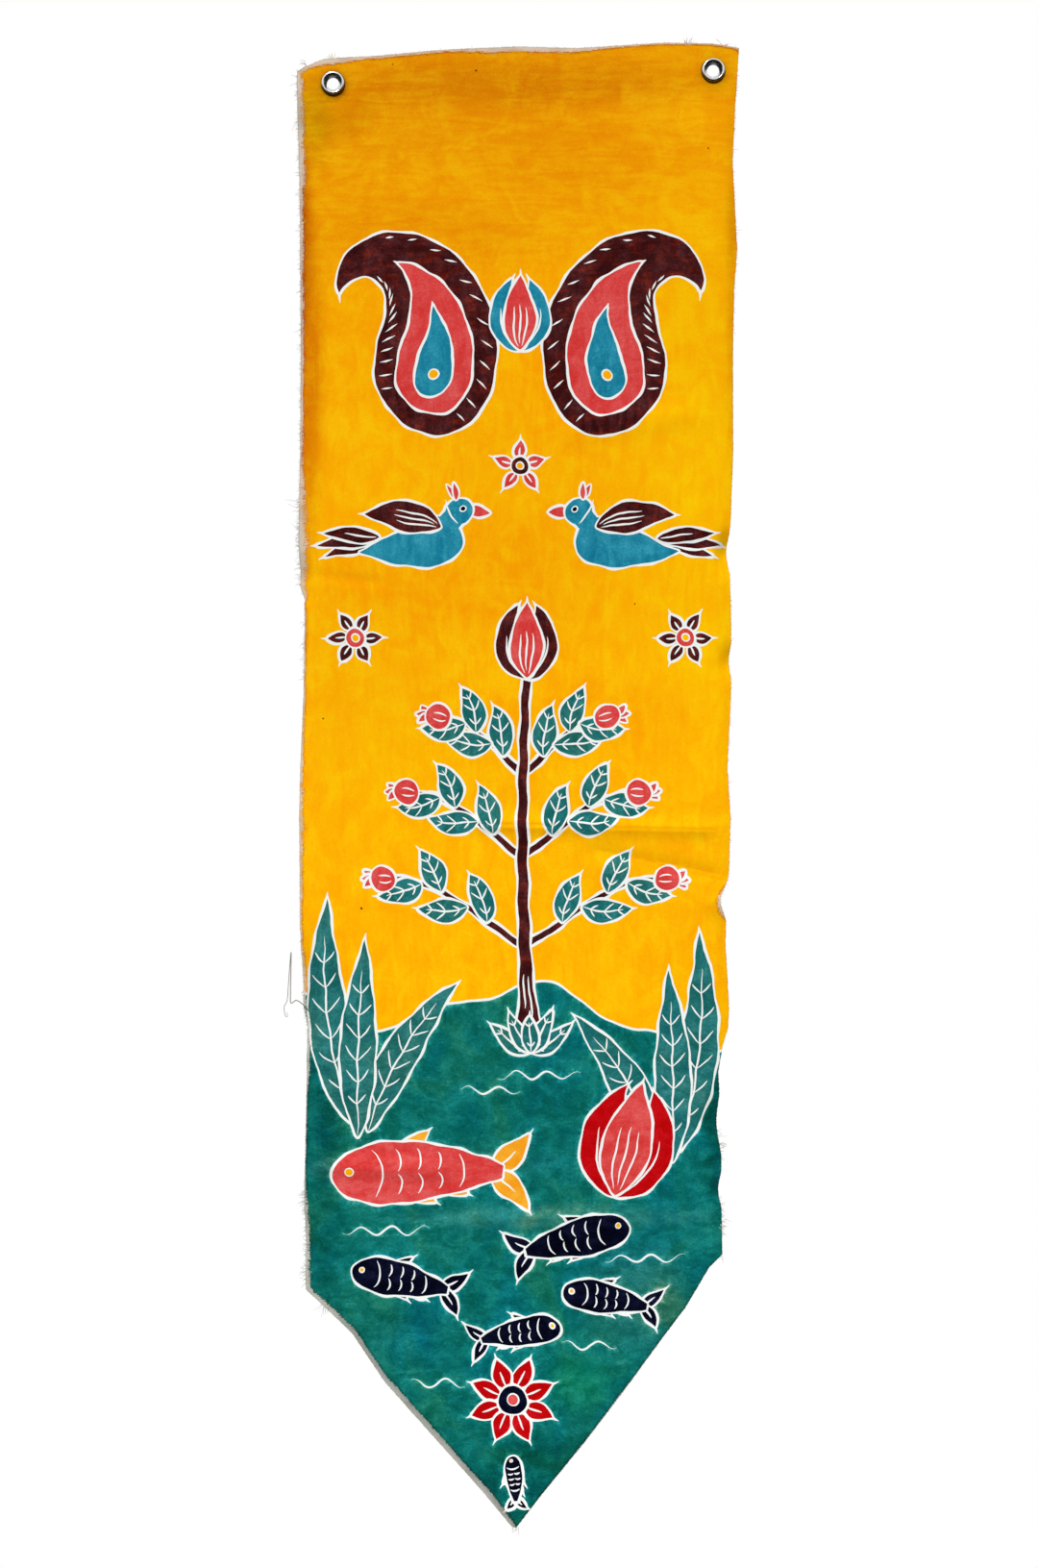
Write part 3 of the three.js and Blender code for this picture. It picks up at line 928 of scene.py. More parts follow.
def closed_loops(edges):
    """The edges joined end to end into closed loops of points, the longest loop first."""
    following = dict(edges.tolist())
    loops = []
    while following:
        start, vertex = next(iter(following.items()))
        loop = [start]
        following.pop(start)
        while vertex != start:
            loop.append(vertex)
            vertex = following.pop(vertex)
        loops.append(loop)
    return sorted(loops, key=len, reverse=True)


def back_triangles(flat, border, inner):
    """Plainer triangles for the back, on the same border and the same inner points as the front.

    Returns the triangles as indices into the flat points of the front.
    """
    used = np.unique(np.concatenate([border.ravel(), inner]))
    outer, *holes = closed_loops(border)
    loops = [np.searchsorted(used, loop).tolist() for loop in (outer, *(hole[::-1] for hole in holes))]
    found = delaunay_2d_cdt([Vector(point) for point in flat[used] / MM], [], loops, 0, BACK_JOIN_MM, True)
    source = used[np.array([sources[0] for sources in found[3]])]
    kept = [triangle for triangle, owners in zip(found[2], found[5], strict=True) if owners == [0]]
    return source[np.array(kept)]


def field_colour(paint, x, z, paints):
    """Colour of a paint at each point: the top orange blended to yellow, then the soft patches, some of
    them painted shadow, shade or light.
    """
    base = np.tile(np.asarray(PAINT_COLOURS.get(paint) or getattr(paints, paint), float), (len(x), 1))
    if paint == "yellow":
        share = smooth((-z - BLEND_START) / BLEND_LENGTH)[:, None]
        base = np.asarray(paints.orange) * (1 - share) + np.asarray(paints.yellow) * share
    for patch in PATCHES.get(paint, ()):
        across = (x - patch.x) / patch.half_width
        down = (-z - patch.drop) / patch.half_height
        share = patch.strength * smooth(PATCH_REACH - np.hypot(across, down))[:, None]
        base = base * (1 - share) + linear(patch.tint) * share
    return base


def add_object(name, data):
    """A new object at the origin, in the scene."""
    made = bpy.data.objects.new(name, data)
    bpy.context.scene.collection.objects.link(made)
    return made


def new_piece(name, mesh, material):
    """A piece of the banner, which rides with it."""
    piece = add_object(name, mesh)
    mesh.materials.append(material)
    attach(piece, "root")
    return piece


def make_mesh(name, vertices, triangles, quads=()):
    """A mesh of triangles, then quads, with smooth shading but for sharp corners."""
    mesh = bpy.data.meshes.new(name)
    faces = triangles.tolist() + np.asarray(quads, int).reshape(-1, 4).tolist()
    mesh.from_pydata(vertices.tolist(), [], faces)
    mesh.shade_smooth()
    mesh.set_sharp_from_angle(angle=math.radians(SHARP_ANGLE))
    return mesh


def add_values(mesh, name, kind, domain, values):
    """A named attribute on a mesh. Its last values are 0 where fewer are given than the mesh has places."""
    attribute = mesh.attributes.new(name, kind, domain)
    field, size = ("color", 4) if kind == "FLOAT_COLOR" else ("value", 1)
    padded = np.zeros(len(attribute.data) * size, np.float32)
    padded[: np.size(values)] = np.ravel(values)
    attribute.data.foreach_set(field, padded)


# Paints with reddish patches where they went on thin, and paints that drift from a cooler to a warmer tint
MOTTLED = {"maroon": 1.0}
DRIFTING = {"green": 1.0, "teal": 0.4}

# How dry each paint went on
DRYNESS = {
    "resist": 0.15,
    "yellow": 0.25,
    "green": 0.65,
    "teal": 0.80,
    "blue": 0.75,
    "maroon": 0.30,
    "coral": 0.60,
    "red": 0.30,
    "navy": 0.25,
    "trim": 0.40,
    "speck": 0.20,
}
SHOW_THROUGH = 0.26
BLEED_ROUNDS = 2
PAINT_COLOURS = {
    "trim": tuple(linear((243, 165, 37))),
    "speck": tuple(linear((96, 42, 8))),
}


def front_paint(flat, triangles, last_owner, shapes, paints):
    """The paint number of each triangle, and the colour and pale halo at each of its corners."""
    names = list(DRYNESS)
    first = 1 + len(EYELET_PLACES)
    of_outline = np.array([names.index("yellow")] * first + [names.index(name) for _, name in shapes])
    paint = of_outline[last_owner]
    corner = triangles.ravel()
    corner_paint = np.repeat(paint, 3)
    colours = np.ones((len(corner), 4))
    for number, name in enumerate(names):
        chosen = corner_paint == number
        at = flat[corner[chosen]]
        colours[chosen, :3] = field_colour(name, at[:, 0], at[:, 1], paints)
    beside_line = np.zeros(len(flat))
    beside_line[triangles[paint == names.index("resist")].ravel()] = 1
    halo = beside_line[corner] * (corner_paint == names.index("green"))
    return paint, colours, halo


def blurred(values, triangles, rounds):
    """Point values averaged a few times over the triangles round each point, as paint bleeds."""
    corners = triangles.ravel()
    count = np.bincount(corners, minlength=len(values))[:, None]
    for _ in range(rounds):
        sums = np.zeros_like(values)
        np.add.at(sums, corners, np.repeat(values[triangles].mean(axis=1), 3, axis=0))
        values = np.where(count > 0, sums / np.maximum(count, 1), values)
    return values


def sheet_mesh(name, flat, front, back, border, thickness):
    """A closed sheet: triangles in front, others behind, and a rim of quads round each raw edge.

    Returns the mesh, and for each of its points the number of the flat point that it stands on.
    """
    count = len(flat)
    middle = on_cloth(flat)
    offset = backward(flat[:, 0], flat[:, 1]) * thickness / 2
    vertices = np.vstack([middle - offset, middle + offset])
    start, end = border[:, 0], border[:, 1]
    triangles = np.vstack([front, back + count])
    rim = np.column_stack([end, start, start + count, end + count])
    used, numbers = np.unique(np.concatenate([triangles.ravel(), rim.ravel()]), return_inverse=True)
    new_triangles = numbers[: triangles.size].reshape(-1, 3)
    new_rim = numbers[triangles.size :].reshape(-1, 4)
    return make_mesh(name, vertices[used], new_triangles, new_rim), used % count


def painted_cloth_mesh(cloth, paints):
    """The cloth: painted triangles in front, and plainer ones behind, where paint shows faintly."""
    shapes = paint_design(cloth.line_width)
    holes = [circle(place, HOLE_RADIUS, HOLE_POINTS) for place in EYELET_PLACES.values()]
    outlines = [cloth_outline(cloth.outline_step), *holes, *(outline for outline, _ in shapes)]
    flat, front, last_owner, inner = triangulate(outlines, grid_points(cloth.grid))
    border = open_edges(front)
    back = back_triangles(flat, border, inner)
    mesh, source = sheet_mesh("banner_cloth", flat, front, back[:, ::-1], border, cloth.thickness)

    paint, colours, halo = front_paint(flat, front, last_owner, shapes, paints)
    seen = np.zeros((len(flat), 4))
    seen[front.ravel()] = colours
    behind = blurred(seen, back, BLEED_ROUNDS)[back[:, ::-1].ravel()]
    rim = seen[border[:, [1, 0, 0, 1]].ravel()]
    add_values(mesh, "paint", "FLOAT_COLOR", "CORNER", np.vstack([colours, behind, rim]))
    add_values(mesh, "halo", "FLOAT", "CORNER", halo)
    for name, table in (("dryness", DRYNESS), ("mottle", MOTTLED), ("drift", DRIFTING)):
        values = np.array([table.get(key, 0.0) for key in DRYNESS])
        add_values(mesh, name, "FLOAT", "FACE", values[paint])
    add_edge_values(mesh, flat[source], flat[border[:, 1]], len(front), len(back))
    return mesh


def add_edge_values(mesh, places, rim_places, front_count, back_count):
    """How far each point lies inside the raw edge and the paint, and how far each face is painted."""
    margin, ragged = paint_margins(places[:, 0], -places[:, 1])
    inward = inside_raw_edge(places[:, 0], -places[:, 1]).min(axis=0)
    for name, values in (("margin", margin), ("ragged", ragged), ("inward", inward)):
        add_values(mesh, name, "FLOAT", "POINT", values)
    painted_rim = paint_margins(rim_places[:, 0], -rim_places[:, 1])[0] > 0
    cover = np.concatenate([np.ones(front_count), np.full(back_count, SHOW_THROUGH), painted_rim])
    add_values(mesh, "cover", "FLOAT", "FACE", cover)


# Threads

FRAY_SPACING = 0.0006
FRAY_SCATTER = 0.4
LEFT_FRAY_TOP = 0.026
RIGHT_FRAY_TOP = 0.004
LEAN = 0.30
DROOP = 0.3
ROOT_DEPTH = 0.0009
SHORT_FRAY = 0.0004
TOP_FRAY = 0.0007
TUFT_WIDTH = 0.0018
TUFT_SPREAD = 24
TINTED_SHARE = 0.32
GREEN_FROM = 0.97
LONG_THREAD_RADIUS = 0.0006
LONG_THREAD_STEPS = 90
LONG_THREAD_SHADE = 0.42
SOME_DIRECTION = np.array([0.31, 0.93, 0.2])

Fray = namedtuple("Fray", "side from_drop to_drop length")

FRAYS = rows(
    Fray,
    ("left", 0.030, 0.250, 0.0022), ("left", 0.250, 0.470, 0.0018), ("left", 0.470, 0.570, 0.0044),
    ("left", 0.600, 0.660, 0.0030), ("left", 0.930, 1.030, 0.0016), ("left", 1.180, 1.290, 0.0036),
    ("right", 0.020, 0.300, 0.0016), ("right", 0.560, 0.900, 0.0015), ("right", 1.130, 1.160, 0.0028),
    ("right", 1.200, 1.240, 0.0030),
)

Tuft = namedtuple("Tuft", "x z heading length count")

TUFTS = rows(
    Tuft,
    (-0.227, -0.312, 200, 0.007, 9), (-0.203, -1.311, 235, 0.009, 12), (0.2105, -1.144, 20, 0.006, 14),
    (0.2110, -1.226, 10, 0.006, 14), (0.2085, -1.2585, -20, 0.006, 10), (0.174, 0.002, 75, 0.008, 12),
    (0.212, 0.000, 60, 0.008, 10), (-0.222, -0.019, 150, 0.007, 8), (-0.196, -0.012, 100, 0.006, 8),
    (-0.005, -1.543, 265, 0.006, 8),
)

# The long thread that hangs off the left edge, as places on it
LOOSE_THREAD = [
    (-0.2210, -1.003), (-0.2275, -0.997), (-0.2335, -0.9935), (-0.2385, -0.996), (-0.2390, -0.985),
    (-0.2385, -0.9445), (-0.2400, -0.9560), (-0.2415, -0.9780), (-0.2425, -0.9930), (-0.2455, -1.0000),
    (-0.2450, -1.0090), (-0.2425, -1.0105), (-0.2430, -1.0060),
]


def strand_points(paths, radius):
    """A ring of three points round each place on each path, smaller toward the far end."""
    tangent = unit(np.gradient(paths, axis=1))
    side = unit(np.cross(tangent, SOME_DIRECTION))
    other = np.cross(tangent, side)
    thin = radius * (1 - 0.6 * np.linspace(0, 1, paths.shape[1]) ** 2)[None, :, None, None]
    angle = np.arange(3) * 2 * np.pi / 3
    ring = np.cos(angle)[:, None] * side[:, :, None, :] + np.sin(angle)[:, None] * other[:, :, None, :]
    return (paths[:, :, None, :] + ring * thin).reshape(-1, 3)


def strand_faces(threads, rings):
    """Triangles that close both ends of each thread, and quads along its three sides."""
    start = (np.arange(threads)[:, None, None] * rings + np.arange(rings - 1)[None, :, None]) * 3
    a = start + np.arange(3)
    b = start + (np.arange(3) + 1) % 3
    quads = np.stack([a, b, b + 3, a + 3], axis=-1).reshape(-1, 4)
    first = np.arange(threads)[:, None] * rings * 3
    return np.vstack([first + [2, 1, 0], first + (rings - 1) * 3 + [0, 1, 2]]), quads


def edge_thread_starts(points, spacing, rng):
    """Places unevenly a spacing apart along a line of edge points, and the outward direction at each."""
    line = resample(points, spacing)
    tangent = unit(np.gradient(line, axis=0))
    outward = np.column_stack([tangent[:, 1], -tangent[:, 0]])
    return line + tangent * rng.normal(0, spacing * FRAY_SCATTER, (len(line), 1)), outward


def frayed_paths(starts, outward, lengths, rng, rings=4):
    """Thread paths: out along the cloth from just inside its edge, leaning to a side and bending down."""
    count = len(starts)
    share = np.linspace(0, 1, rings)[None, :, None]
    root = on_cloth(starts - outward * ROOT_DEPTH)[:, None, :]
    ahead = np.column_stack([outward[:, 0], rng.normal(0.05, 0.22, count), outward[:, 1]])
    sideways = np.column_stack([-outward[:, 1], np.zeros(count), outward[:, 0]])[:, None, :]
    lean = rng.normal(0, LEAN, count)[:, None, None] * sideways
    curl = rng.normal(0, LEAN, count)[:, None, None] * sideways
    droop = rng.uniform(0.0, DROOP, count)[:, None, None] * np.array([0, 0, -1.0])
    reach = lengths[:, None, None] + ROOT_DEPTH
    return root + reach * (share * (ahead[:, None, :] + lean) + share**2 * (curl + droop))


def fray_lengths(side, starts, rng):
    """Length of each thread: a few tenths of a millimetre, or more where the table says so."""
    drops = -starts[:, 1]
    reach = np.full(len(starts), SHORT_FRAY)
    for fray in FRAYS:
        if fray.side == side:
            inside = (drops > fray.from_drop) & (drops < fray.to_drop)
            reach = np.where(inside, fray.length, reach)
    slow = 0.6 + 0.4 * np.sin(drops * 240) * np.sin(drops * 67 + 1)
    return reach * slow * rng.gamma(1.6, 0.55, len(starts))


def all_frayed_paths(rng):
    """Paths of the threads round the whole raw edge."""
    parts = []
    for side, first_drop, order in (("left", LEFT_FRAY_TOP, 1), ("right", RIGHT_FRAY_TOP, -1)):
        line = side_line(side, first_drop)[::order]
        starts, outward = edge_thread_starts(line, FRAY_SPACING, rng)
        parts.append(frayed_paths(starts, outward, fray_lengths(side, starts, rng), rng))
    starts, outward = edge_thread_starts(top_line()[::-1], FRAY_SPACING, rng)
    parts.append(frayed_paths(starts, outward, TOP_FRAY * rng.gamma(1.6, 0.6, len(starts)), rng))
    for tuft in TUFTS:
        angle = np.radians(rng.normal(tuft.heading, TUFT_SPREAD, tuft.count))
        starts = np.array([tuft.x, tuft.z]) + rng.normal(0, TUFT_WIDTH, (tuft.count, 2))
        lengths = tuft.length * rng.uniform(0.4, 1.0, tuft.count)
        parts.append(frayed_paths(starts, directions(angle), lengths, rng))
    return np.vstack(parts)


def thread_colours(paths, paints, rng):
    """One colour for each thread: bare cotton, or tinted by the paint of the field that it comes from."""
    drops = -paths[:, 0, 2]
    count = len(paths)
    field = np.where((drops < GREEN_FROM)[:, None], np.asarray(paints.yellow), np.asarray(paints.green))
    bare = np.asarray(paints.cotton) * rng.uniform(0.35, 1.1, (count, 1))
    tinted = (rng.random(count) < TINTED_SHARE)[:, None] * rng.uniform(0.3, 0.9, (count, 1))
    return bare * (1 - tinted) + field * tinted


def thread_mesh(name, paths, radius, colours):
    """A mesh of threads with the colour of each on all its corners."""
    threads, rings, _ = paths.shape
    mesh = make_mesh(name, strand_points(paths, radius), *strand_faces(threads, rings))
    per_point = np.repeat(colours, rings * 3, axis=0)
    values = np.column_stack([per_point, np.ones(len(per_point))])
    add_values(mesh, "paint", "FLOAT_COLOR", "POINT", values)
    return mesh


def loose_thread_path():
    """A smooth path through the places of the long thread, a few millimetres behind the cloth."""
    places = np.array(LOOSE_THREAD)
    at = np.arange(len(places))
    fine = np.linspace(0, len(places) - 1, LONG_THREAD_STEPS)
    x = smooth_through(fine, at, places[:, 0])
    z = smooth_through(fine, at, places[:, 1])
    y = 0.004 + 0.002 * np.sin(fine * 1.3)
    return np.column_stack([x, y, z])[None]


def smooth_through(fine, at, values):
    """A cubic through values at whole numbers, with slopes from each value's neighbours."""
    slopes = np.gradient(values)
    left = np.clip(np.floor(fine).astype(int), 0, len(at) - 2)
    t = fine - left
    a, b = values[left], values[left + 1]
    first, last = slopes[left], slopes[left + 1]
    return (
        a * (1 + 2 * t) * (1 - t) ** 2
        + first * t * (1 - t) ** 2
        + b * t**2 * (3 - 2 * t)
        + last * t**2 * (t - 1)
    )


# Eyelets

LIP = 0.0007
LIP_LIFT = 0.0002
DOME_HEIGHT = 0.0024
BRIM = 0.00125
THROAT = 0.0008
THROAT_PLACE = 0.00014
ROLL_LIFT = 0.0001
FUNNEL_GAP = 0.0004
OFF_CLOTH = 0.00005

# How dark each part of the profile is painted at its start and at its end, held between 0 and 1: painted
# dark reflection on the rim and the dome's outer slope, and painted shade in the throat, in the bore and
# behind the cloth
PAINTED_DARK_ENDS = ((1.0, 1.0), (0.9, -0.6), (0.0, 0.0), (0.15, 0.7), (0.8, 0.8), (0.8, 0.1), (1.0, 1.0))


def arc(centre, radii, start, end, count):
    """Points on an ellipse from a start angle to an end angle in degrees."""
    angle = np.radians(np.linspace(start, end, count))
    return np.asarray(centre) + np.asarray(radii) * directions(angle)


def eyelet_profile(sizes, thickness):
    """Closed profile of the metal as radius, y and painted darkness, which is painted shade and painted
    dark reflection.

    It runs over the flange's rim, its dome and the brim, down a straight funnel into the bore, round the
    rear rim, and back along the cloth.
    """
    face = thickness / 2
    crest = -face - sizes.front_height
    dome = sizes.outer_radius - LIP * 0.5 - sizes.crest_radius
    roll = (sizes.rear_radius - sizes.bore_radius) / 2
    inner = sizes.bore_radius + sizes.metal + FUNNEL_GAP
    parts = (
        arc((sizes.outer_radius - LIP, -face - LIP - LIP_LIFT), (LIP, LIP), 80, -60, 10),
        arc((sizes.crest_radius, crest + DOME_HEIGHT), (dome, DOME_HEIGHT), -24, -90, 14),
        arc((sizes.crest_radius, crest + BRIM), (BRIM, BRIM), -92, -140, 9),
        arc((sizes.bore_radius + THROAT, THROAT_PLACE), (THROAT, THROAT), -140, -180, 8),
        np.array([[sizes.bore_radius, face]]),
        arc((sizes.bore_radius + roll, face + ROLL_LIFT), (roll, sizes.rear_height), 180, 4, 20),
        np.array([
            [sizes.rear_radius - sizes.metal, face + OFF_CLOTH],
            [inner, face + OFF_CLOTH],
            [inner, -face - OFF_CLOTH],
            [sizes.outer_radius - LIP, -face - OFF_CLOTH],
        ]),
    )
    painted_dark = [np.linspace(*ends, len(part)) for part, ends in zip(parts, PAINTED_DARK_ENDS, strict=True)]
    return np.column_stack([np.vstack(parts), np.clip(np.concatenate(painted_dark), 0, 1)])


def lathe(profile, centre, segments):
    """The profile carried round the Y axis: x and z are its radius times the cosine and the sine."""
    angle = np.linspace(0, 2 * np.pi, segments, endpoint=False)[:, None]
    radius, count = profile[:, 0], len(profile)
    x = centre[0] + radius * np.cos(angle)
    z = centre[1] + radius * np.sin(angle)
    y = np.broadcast_to(profile[:, 1], x.shape)
    ring = np.arange(segments)[:, None] * count
    next_ring = np.roll(ring, -1, axis=0)
    a = np.arange(count)
    b = (a + 1) % count
    quads = np.stack([ring + a, next_ring + a, next_ring + b, ring + b], axis=-1).reshape(-1, 4)
    return np.stack([x, y, z], axis=-1).reshape(-1, 3), quads


# Shader nodes

# What a colour is multiplied by in worn, wet or dirty places, and in places of painted shade
RUSTY = (2.3, 1.3, 0.7)
COOLER = (0.45, 0.90, 1.08)
WARMER = (2.3, 1.02, 0.80)
# Partly pooled paint, partly painted shade: the dark band at the paint's edge
POOLED_AND_EDGE_SHADE = (0.36, 0.24, 0.2)
WEATHERED = (0.74, 0.73, 0.70)
# Painted shade between the threads of the weave
SHADE_BETWEEN_THREADS = (0.80, 0.79, 0.76)
# Painted shade on the bare cotton near the edge at the foot
FOOT_EDGE_SHADE = (0.50, 0.52, 0.56)
# Painted shade along the raw edge
RAW_EDGE_SHADE = (0.44, 0.43, 0.41)
UNEVEN_DYE = (0.7, 0.68, 0.64)
FAINT_SHADE = (0.9, 0.9, 0.9)

NICKEL = (0.92, 0.91, 0.90, 1)
TARNISHED = (0.60, 0.58, 0.54, 1)
# Painted shade and painted dark reflection on the eyelet
PAINTED_DARK_COLOUR = (0.025, 0.022, 0.02, 1)
COMB_PITCH = 0.0016


class Nodes:
    """Adds nodes to a shader tree. A value is a number, colour or vector, or another node's socket."""

    def __init__(self, tree):
        self.tree = tree

    def put(self, target, value):
        """Links a socket to a target, or sets the target's own value."""
        if isinstance(value, bpy.types.NodeSocket):
            self.tree.links.new(value, target)
        else:
            target.default_value = value

    def fill(self, made, values):
        """Puts values into the named inputs of a node."""
        for name, value in values.items():
            self.put(made.inputs[name], value)
        return made

    def new(self, kind, values):
        """A new node of a kind, with values in its named inputs."""
        return self.fill(self.tree.nodes.new("ShaderNode" + kind), values)

    def math(self, operation, *values):
        """The result of an operation on one, two or three values."""
        made = self.tree.nodes.new("ShaderNodeMath")
        made.operation = operation
        for target, value in zip(made.inputs, values, strict=False):
            self.put(target, value)
        return made.outputs[0]

    def multiply(self, first, second):
        """The product of two values."""
        return self.math("MULTIPLY", first, second)

    def multiply_add(self, first, second, added):
        """The product of two values, plus a third."""
        return self.math("MULTIPLY_ADD", first, second, added)

    def mix(self, share, first, second):
        """A value between two others."""
        return self.new("Mix", {"Factor": share, "A": first, "B": second}).outputs["Result"]

    def mix_colours(self, share, first, second, mode="MIX"):
        """A colour between two others, or another blend of them."""
        made = self.tree.nodes.new("ShaderNodeMix")
        made.data_type = "RGBA"
        made.blend_type = mode
        return self.fill(made, {"Factor": share, "A": first, "B": second}).outputs["Result"]

    def tint(self, share, colour, times):
        """The colour, multiplied by another as far as the share says."""
        return self.mix_colours(share, colour, (*times, 1), "MULTIPLY")

    def cloud(self, vector, scale, detail=4.0, roughness=0.55, distortion=0.0):
        """Smooth noise about 0.5."""
        numbers = {"Scale": scale, "Detail": detail, "Roughness": roughness, "Distortion": distortion}
        return self.new("TexNoise", {"Vector": vector, **numbers}).outputs["Fac"]

    def streaks(self, vector, scale, *numbers):
        """Noise about 0.5 that is drawn out along the axes with the smallest scales."""
        stretched = self.new("Mapping", {"Vector": vector, "Scale": scale})
        return self.cloud(stretched.outputs["Vector"], 1.0, *numbers)

    def between(self, value, low, high, to_low=0.0, to_high=1.0):
        """The value mapped softly from one range to another, and held at its ends."""
        made = self.tree.nodes.new("ShaderNodeMapRange")
        made.interpolation_type = "SMOOTHSTEP"
        ranges = {"From Min": low, "From Max": high, "To Min": to_low, "To Max": to_high}
        return self.fill(made, {"Value": value, **ranges}).outputs["Result"]

    def split(self, vector):
        """The X, Y and Z of a vector."""
        return self.new("SeparateXYZ", {"Vector": vector}).outputs

    def attribute(self, name, output="Fac"):
        """A named attribute of the mesh."""
        made = self.tree.nodes.new("ShaderNodeAttribute")
        made.attribute_name = name
        return made.outputs[output]

    def group(self, name, maker, vector, *sizes):
        """Outputs of the named node group, which is made the first time that it is asked for."""
        made = self.tree.nodes.new("ShaderNodeGroup")
        made.node_tree = bpy.data.node_groups.get(name) or maker(name, *sizes)
        self.put(made.inputs["Vector"], vector)
        return made.outputs

    def bump(self, shader, height, distance, strength):
        """Fine relief on a shader."""
        made = self.new("Bump", {"Strength": strength, "Distance": distance, "Height": height})
        self.put(shader.inputs["Normal"], made.outputs["Normal"])


def new_group(name, *outputs):
    """A node group with a vector input and float outputs. Returns its nodes, vector and targets."""
    group = bpy.data.node_groups.new(name, "ShaderNodeTree")
    group.interface.new_socket("Vector", in_out="INPUT", socket_type="NodeSocketVector")
    for output in outputs:
        group.interface.new_socket(output, in_out="OUTPUT", socket_type="NodeSocketFloat")
    vector = group.nodes.new("NodeGroupInput").outputs["Vector"]
    return Nodes(group), vector, group.nodes.new("NodeGroupOutput").inputs


def weave_group(name, pitch):
    """Plain weave: the product of a sine across and a sine down, each bent a little by noise."""
    nodes, vector, end = new_group(name, "Height", "Gaps")
    parts = nodes.split(vector)
    uneven = nodes.cloud(vector, 160, 2)
    slub = nodes.streaks(vector, (18, 18, 900), 2)
    turns = math.pi / pitch
    across = nodes.multiply_add(parts["X"], turns, nodes.multiply(uneven, 5.0))
    down = nodes.multiply_add(parts["Z"], turns, nodes.multiply(uneven, -4.0))
    crossing = nodes.multiply(nodes.math("SINE", across), nodes.math("SINE", down))
    nodes.put(end["Height"], nodes.multiply_add(crossing, 0.5, slub))
    nodes.put(end["Gaps"], nodes.between(nodes.math("ABSOLUTE", crossing), 0.22, 0.0))
    return nodes.tree


def brush_group(name):
    """Brush strokes as noise: level near the top, upright below, and short in the green field."""
    nodes, vector, end = new_group(name, "Tone", "Fine", "Dust")
    height = nodes.split(vector)["Z"]
    level = nodes.streaks(vector, (16, 16, 95), 6, 0.66, 1.4)
    upright = nodes.streaks(vector, (62, 62, 17), 6, 0.66, 1.4)
    short = nodes.streaks(vector, (44, 44, 78), 6, 0.62, 0.8)
    patchy = nodes.cloud(vector, 26, 5, 0.65, 1.2)
    strokes = nodes.mix(nodes.between(height, -0.12, -0.36), level, upright)
    strokes = nodes.mix(nodes.between(height, -0.98, -1.06), strokes, short)
    nodes.put(end["Tone"], nodes.mix(0.5, strokes, patchy))
    nodes.put(end["Fine"], nodes.streaks(vector, (420, 420, 560), 3, 0.7))
    nodes.put(end["Dust"], nodes.streaks(vector, (190, 190, 420), 4, 0.75))
    return nodes.tree


def comb_group(name):
    """Where the brush missed threads at the paint's edge: level and upright noise, and a sine down."""
    nodes, vector, end = new_group(name, "Comb")
    level = nodes.streaks(vector, (90, 90, 900), 3, 0.6)
    upright = nodes.streaks(vector, (900, 900, 90), 3, 0.6)
    slow = nodes.cloud(vector, 60, 3)
    sums = nodes.multiply_add(nodes.math("ADD", level, upright), 2.0, slow)
    height = nodes.split(vector)["Z"]
    turns = nodes.multiply_add(height, 2 * math.pi / COMB_PITCH, nodes.multiply(slow, 9.0))
    sums = nodes.multiply_add(nodes.math("SINE", turns), 0.15, sums)
    nodes.put(end["Comb"], nodes.math("SUBTRACT", sums, 2.5))
    return nodes.tree


def new_material(name):
    """An empty material. Returns it, its nodes, its Principled shader and its Object coordinates."""
    material = bpy.data.materials.new(name)
    material.use_nodes = True
    tree = material.node_tree
    coordinates = tree.nodes.new("ShaderNodeTexCoord")
    return material, Nodes(tree), tree.nodes["Principled BSDF"], coordinates.outputs["Object"]


def paint_depth(nodes, threads, strokes, inside):
    """How deep the paint is: it follows the brush, and is less where it is dry or beside a white line."""
    dryness = nodes.attribute("dryness")
    depth = nodes.between(strokes["Tone"], 0.34, 0.66, 1.22, 0.82)
    depth = nodes.multiply_add(nodes.math("SUBTRACT", 0.5, strokes["Fine"]), 0.60, depth)
    depth = nodes.multiply_add(nodes.between(inside, 0.0035, 0.0), 0.16, depth)
    dust = nodes.multiply(nodes.between(strokes["Dust"], 0.52, 0.74), dryness)
    depth = nodes.multiply_add(dust, -0.28, depth)
    glow = nodes.multiply(nodes.attribute("halo"), nodes.between(strokes["Dust"], 0.35, 0.6, 0.4, 1.0))
    depth = nodes.multiply_add(glow, -0.40, depth)
    return nodes.multiply_add(nodes.multiply(threads["Gaps"], dryness), -0.10, depth)


def paint_colour(nodes, place, paint, depth, inside):
    """The paint at its depth, rusty where thin, cooler here and warmer there, and darker at its edge, where
    it pooled and, as painted shade, where the raw edge turns back.

    One gamma works on the paint's own colour: over 1 it makes a paint deeper, under 1 paler and duller.
    """
    toned = nodes.new("Gamma", {"Color": paint, "Gamma": depth}).outputs["Color"]
    thin = nodes.between(nodes.streaks(place, (60, 60, 110), 5, 0.7), 0.46, 0.66)
    colour = nodes.tint(nodes.multiply(thin, nodes.attribute("mottle")), toned, RUSTY)
    drift = nodes.streaks(place, (13, 13, 10), 5, 0.56, 0.9)
    for low, high, times in ((0.50, 0.36, COOLER), (0.49, 0.64, WARMER)):
        share = nodes.multiply(nodes.between(drift, low, high), nodes.attribute("drift"))
        colour = nodes.tint(share, colour, times)
    # Dark band at the paint's edge: pooled paint, and painted shade where the raw edge turns back
    return nodes.tint(nodes.between(inside, 0.0020, 0.0006, 0.0, 0.65), colour, POOLED_AND_EDGE_SHADE)


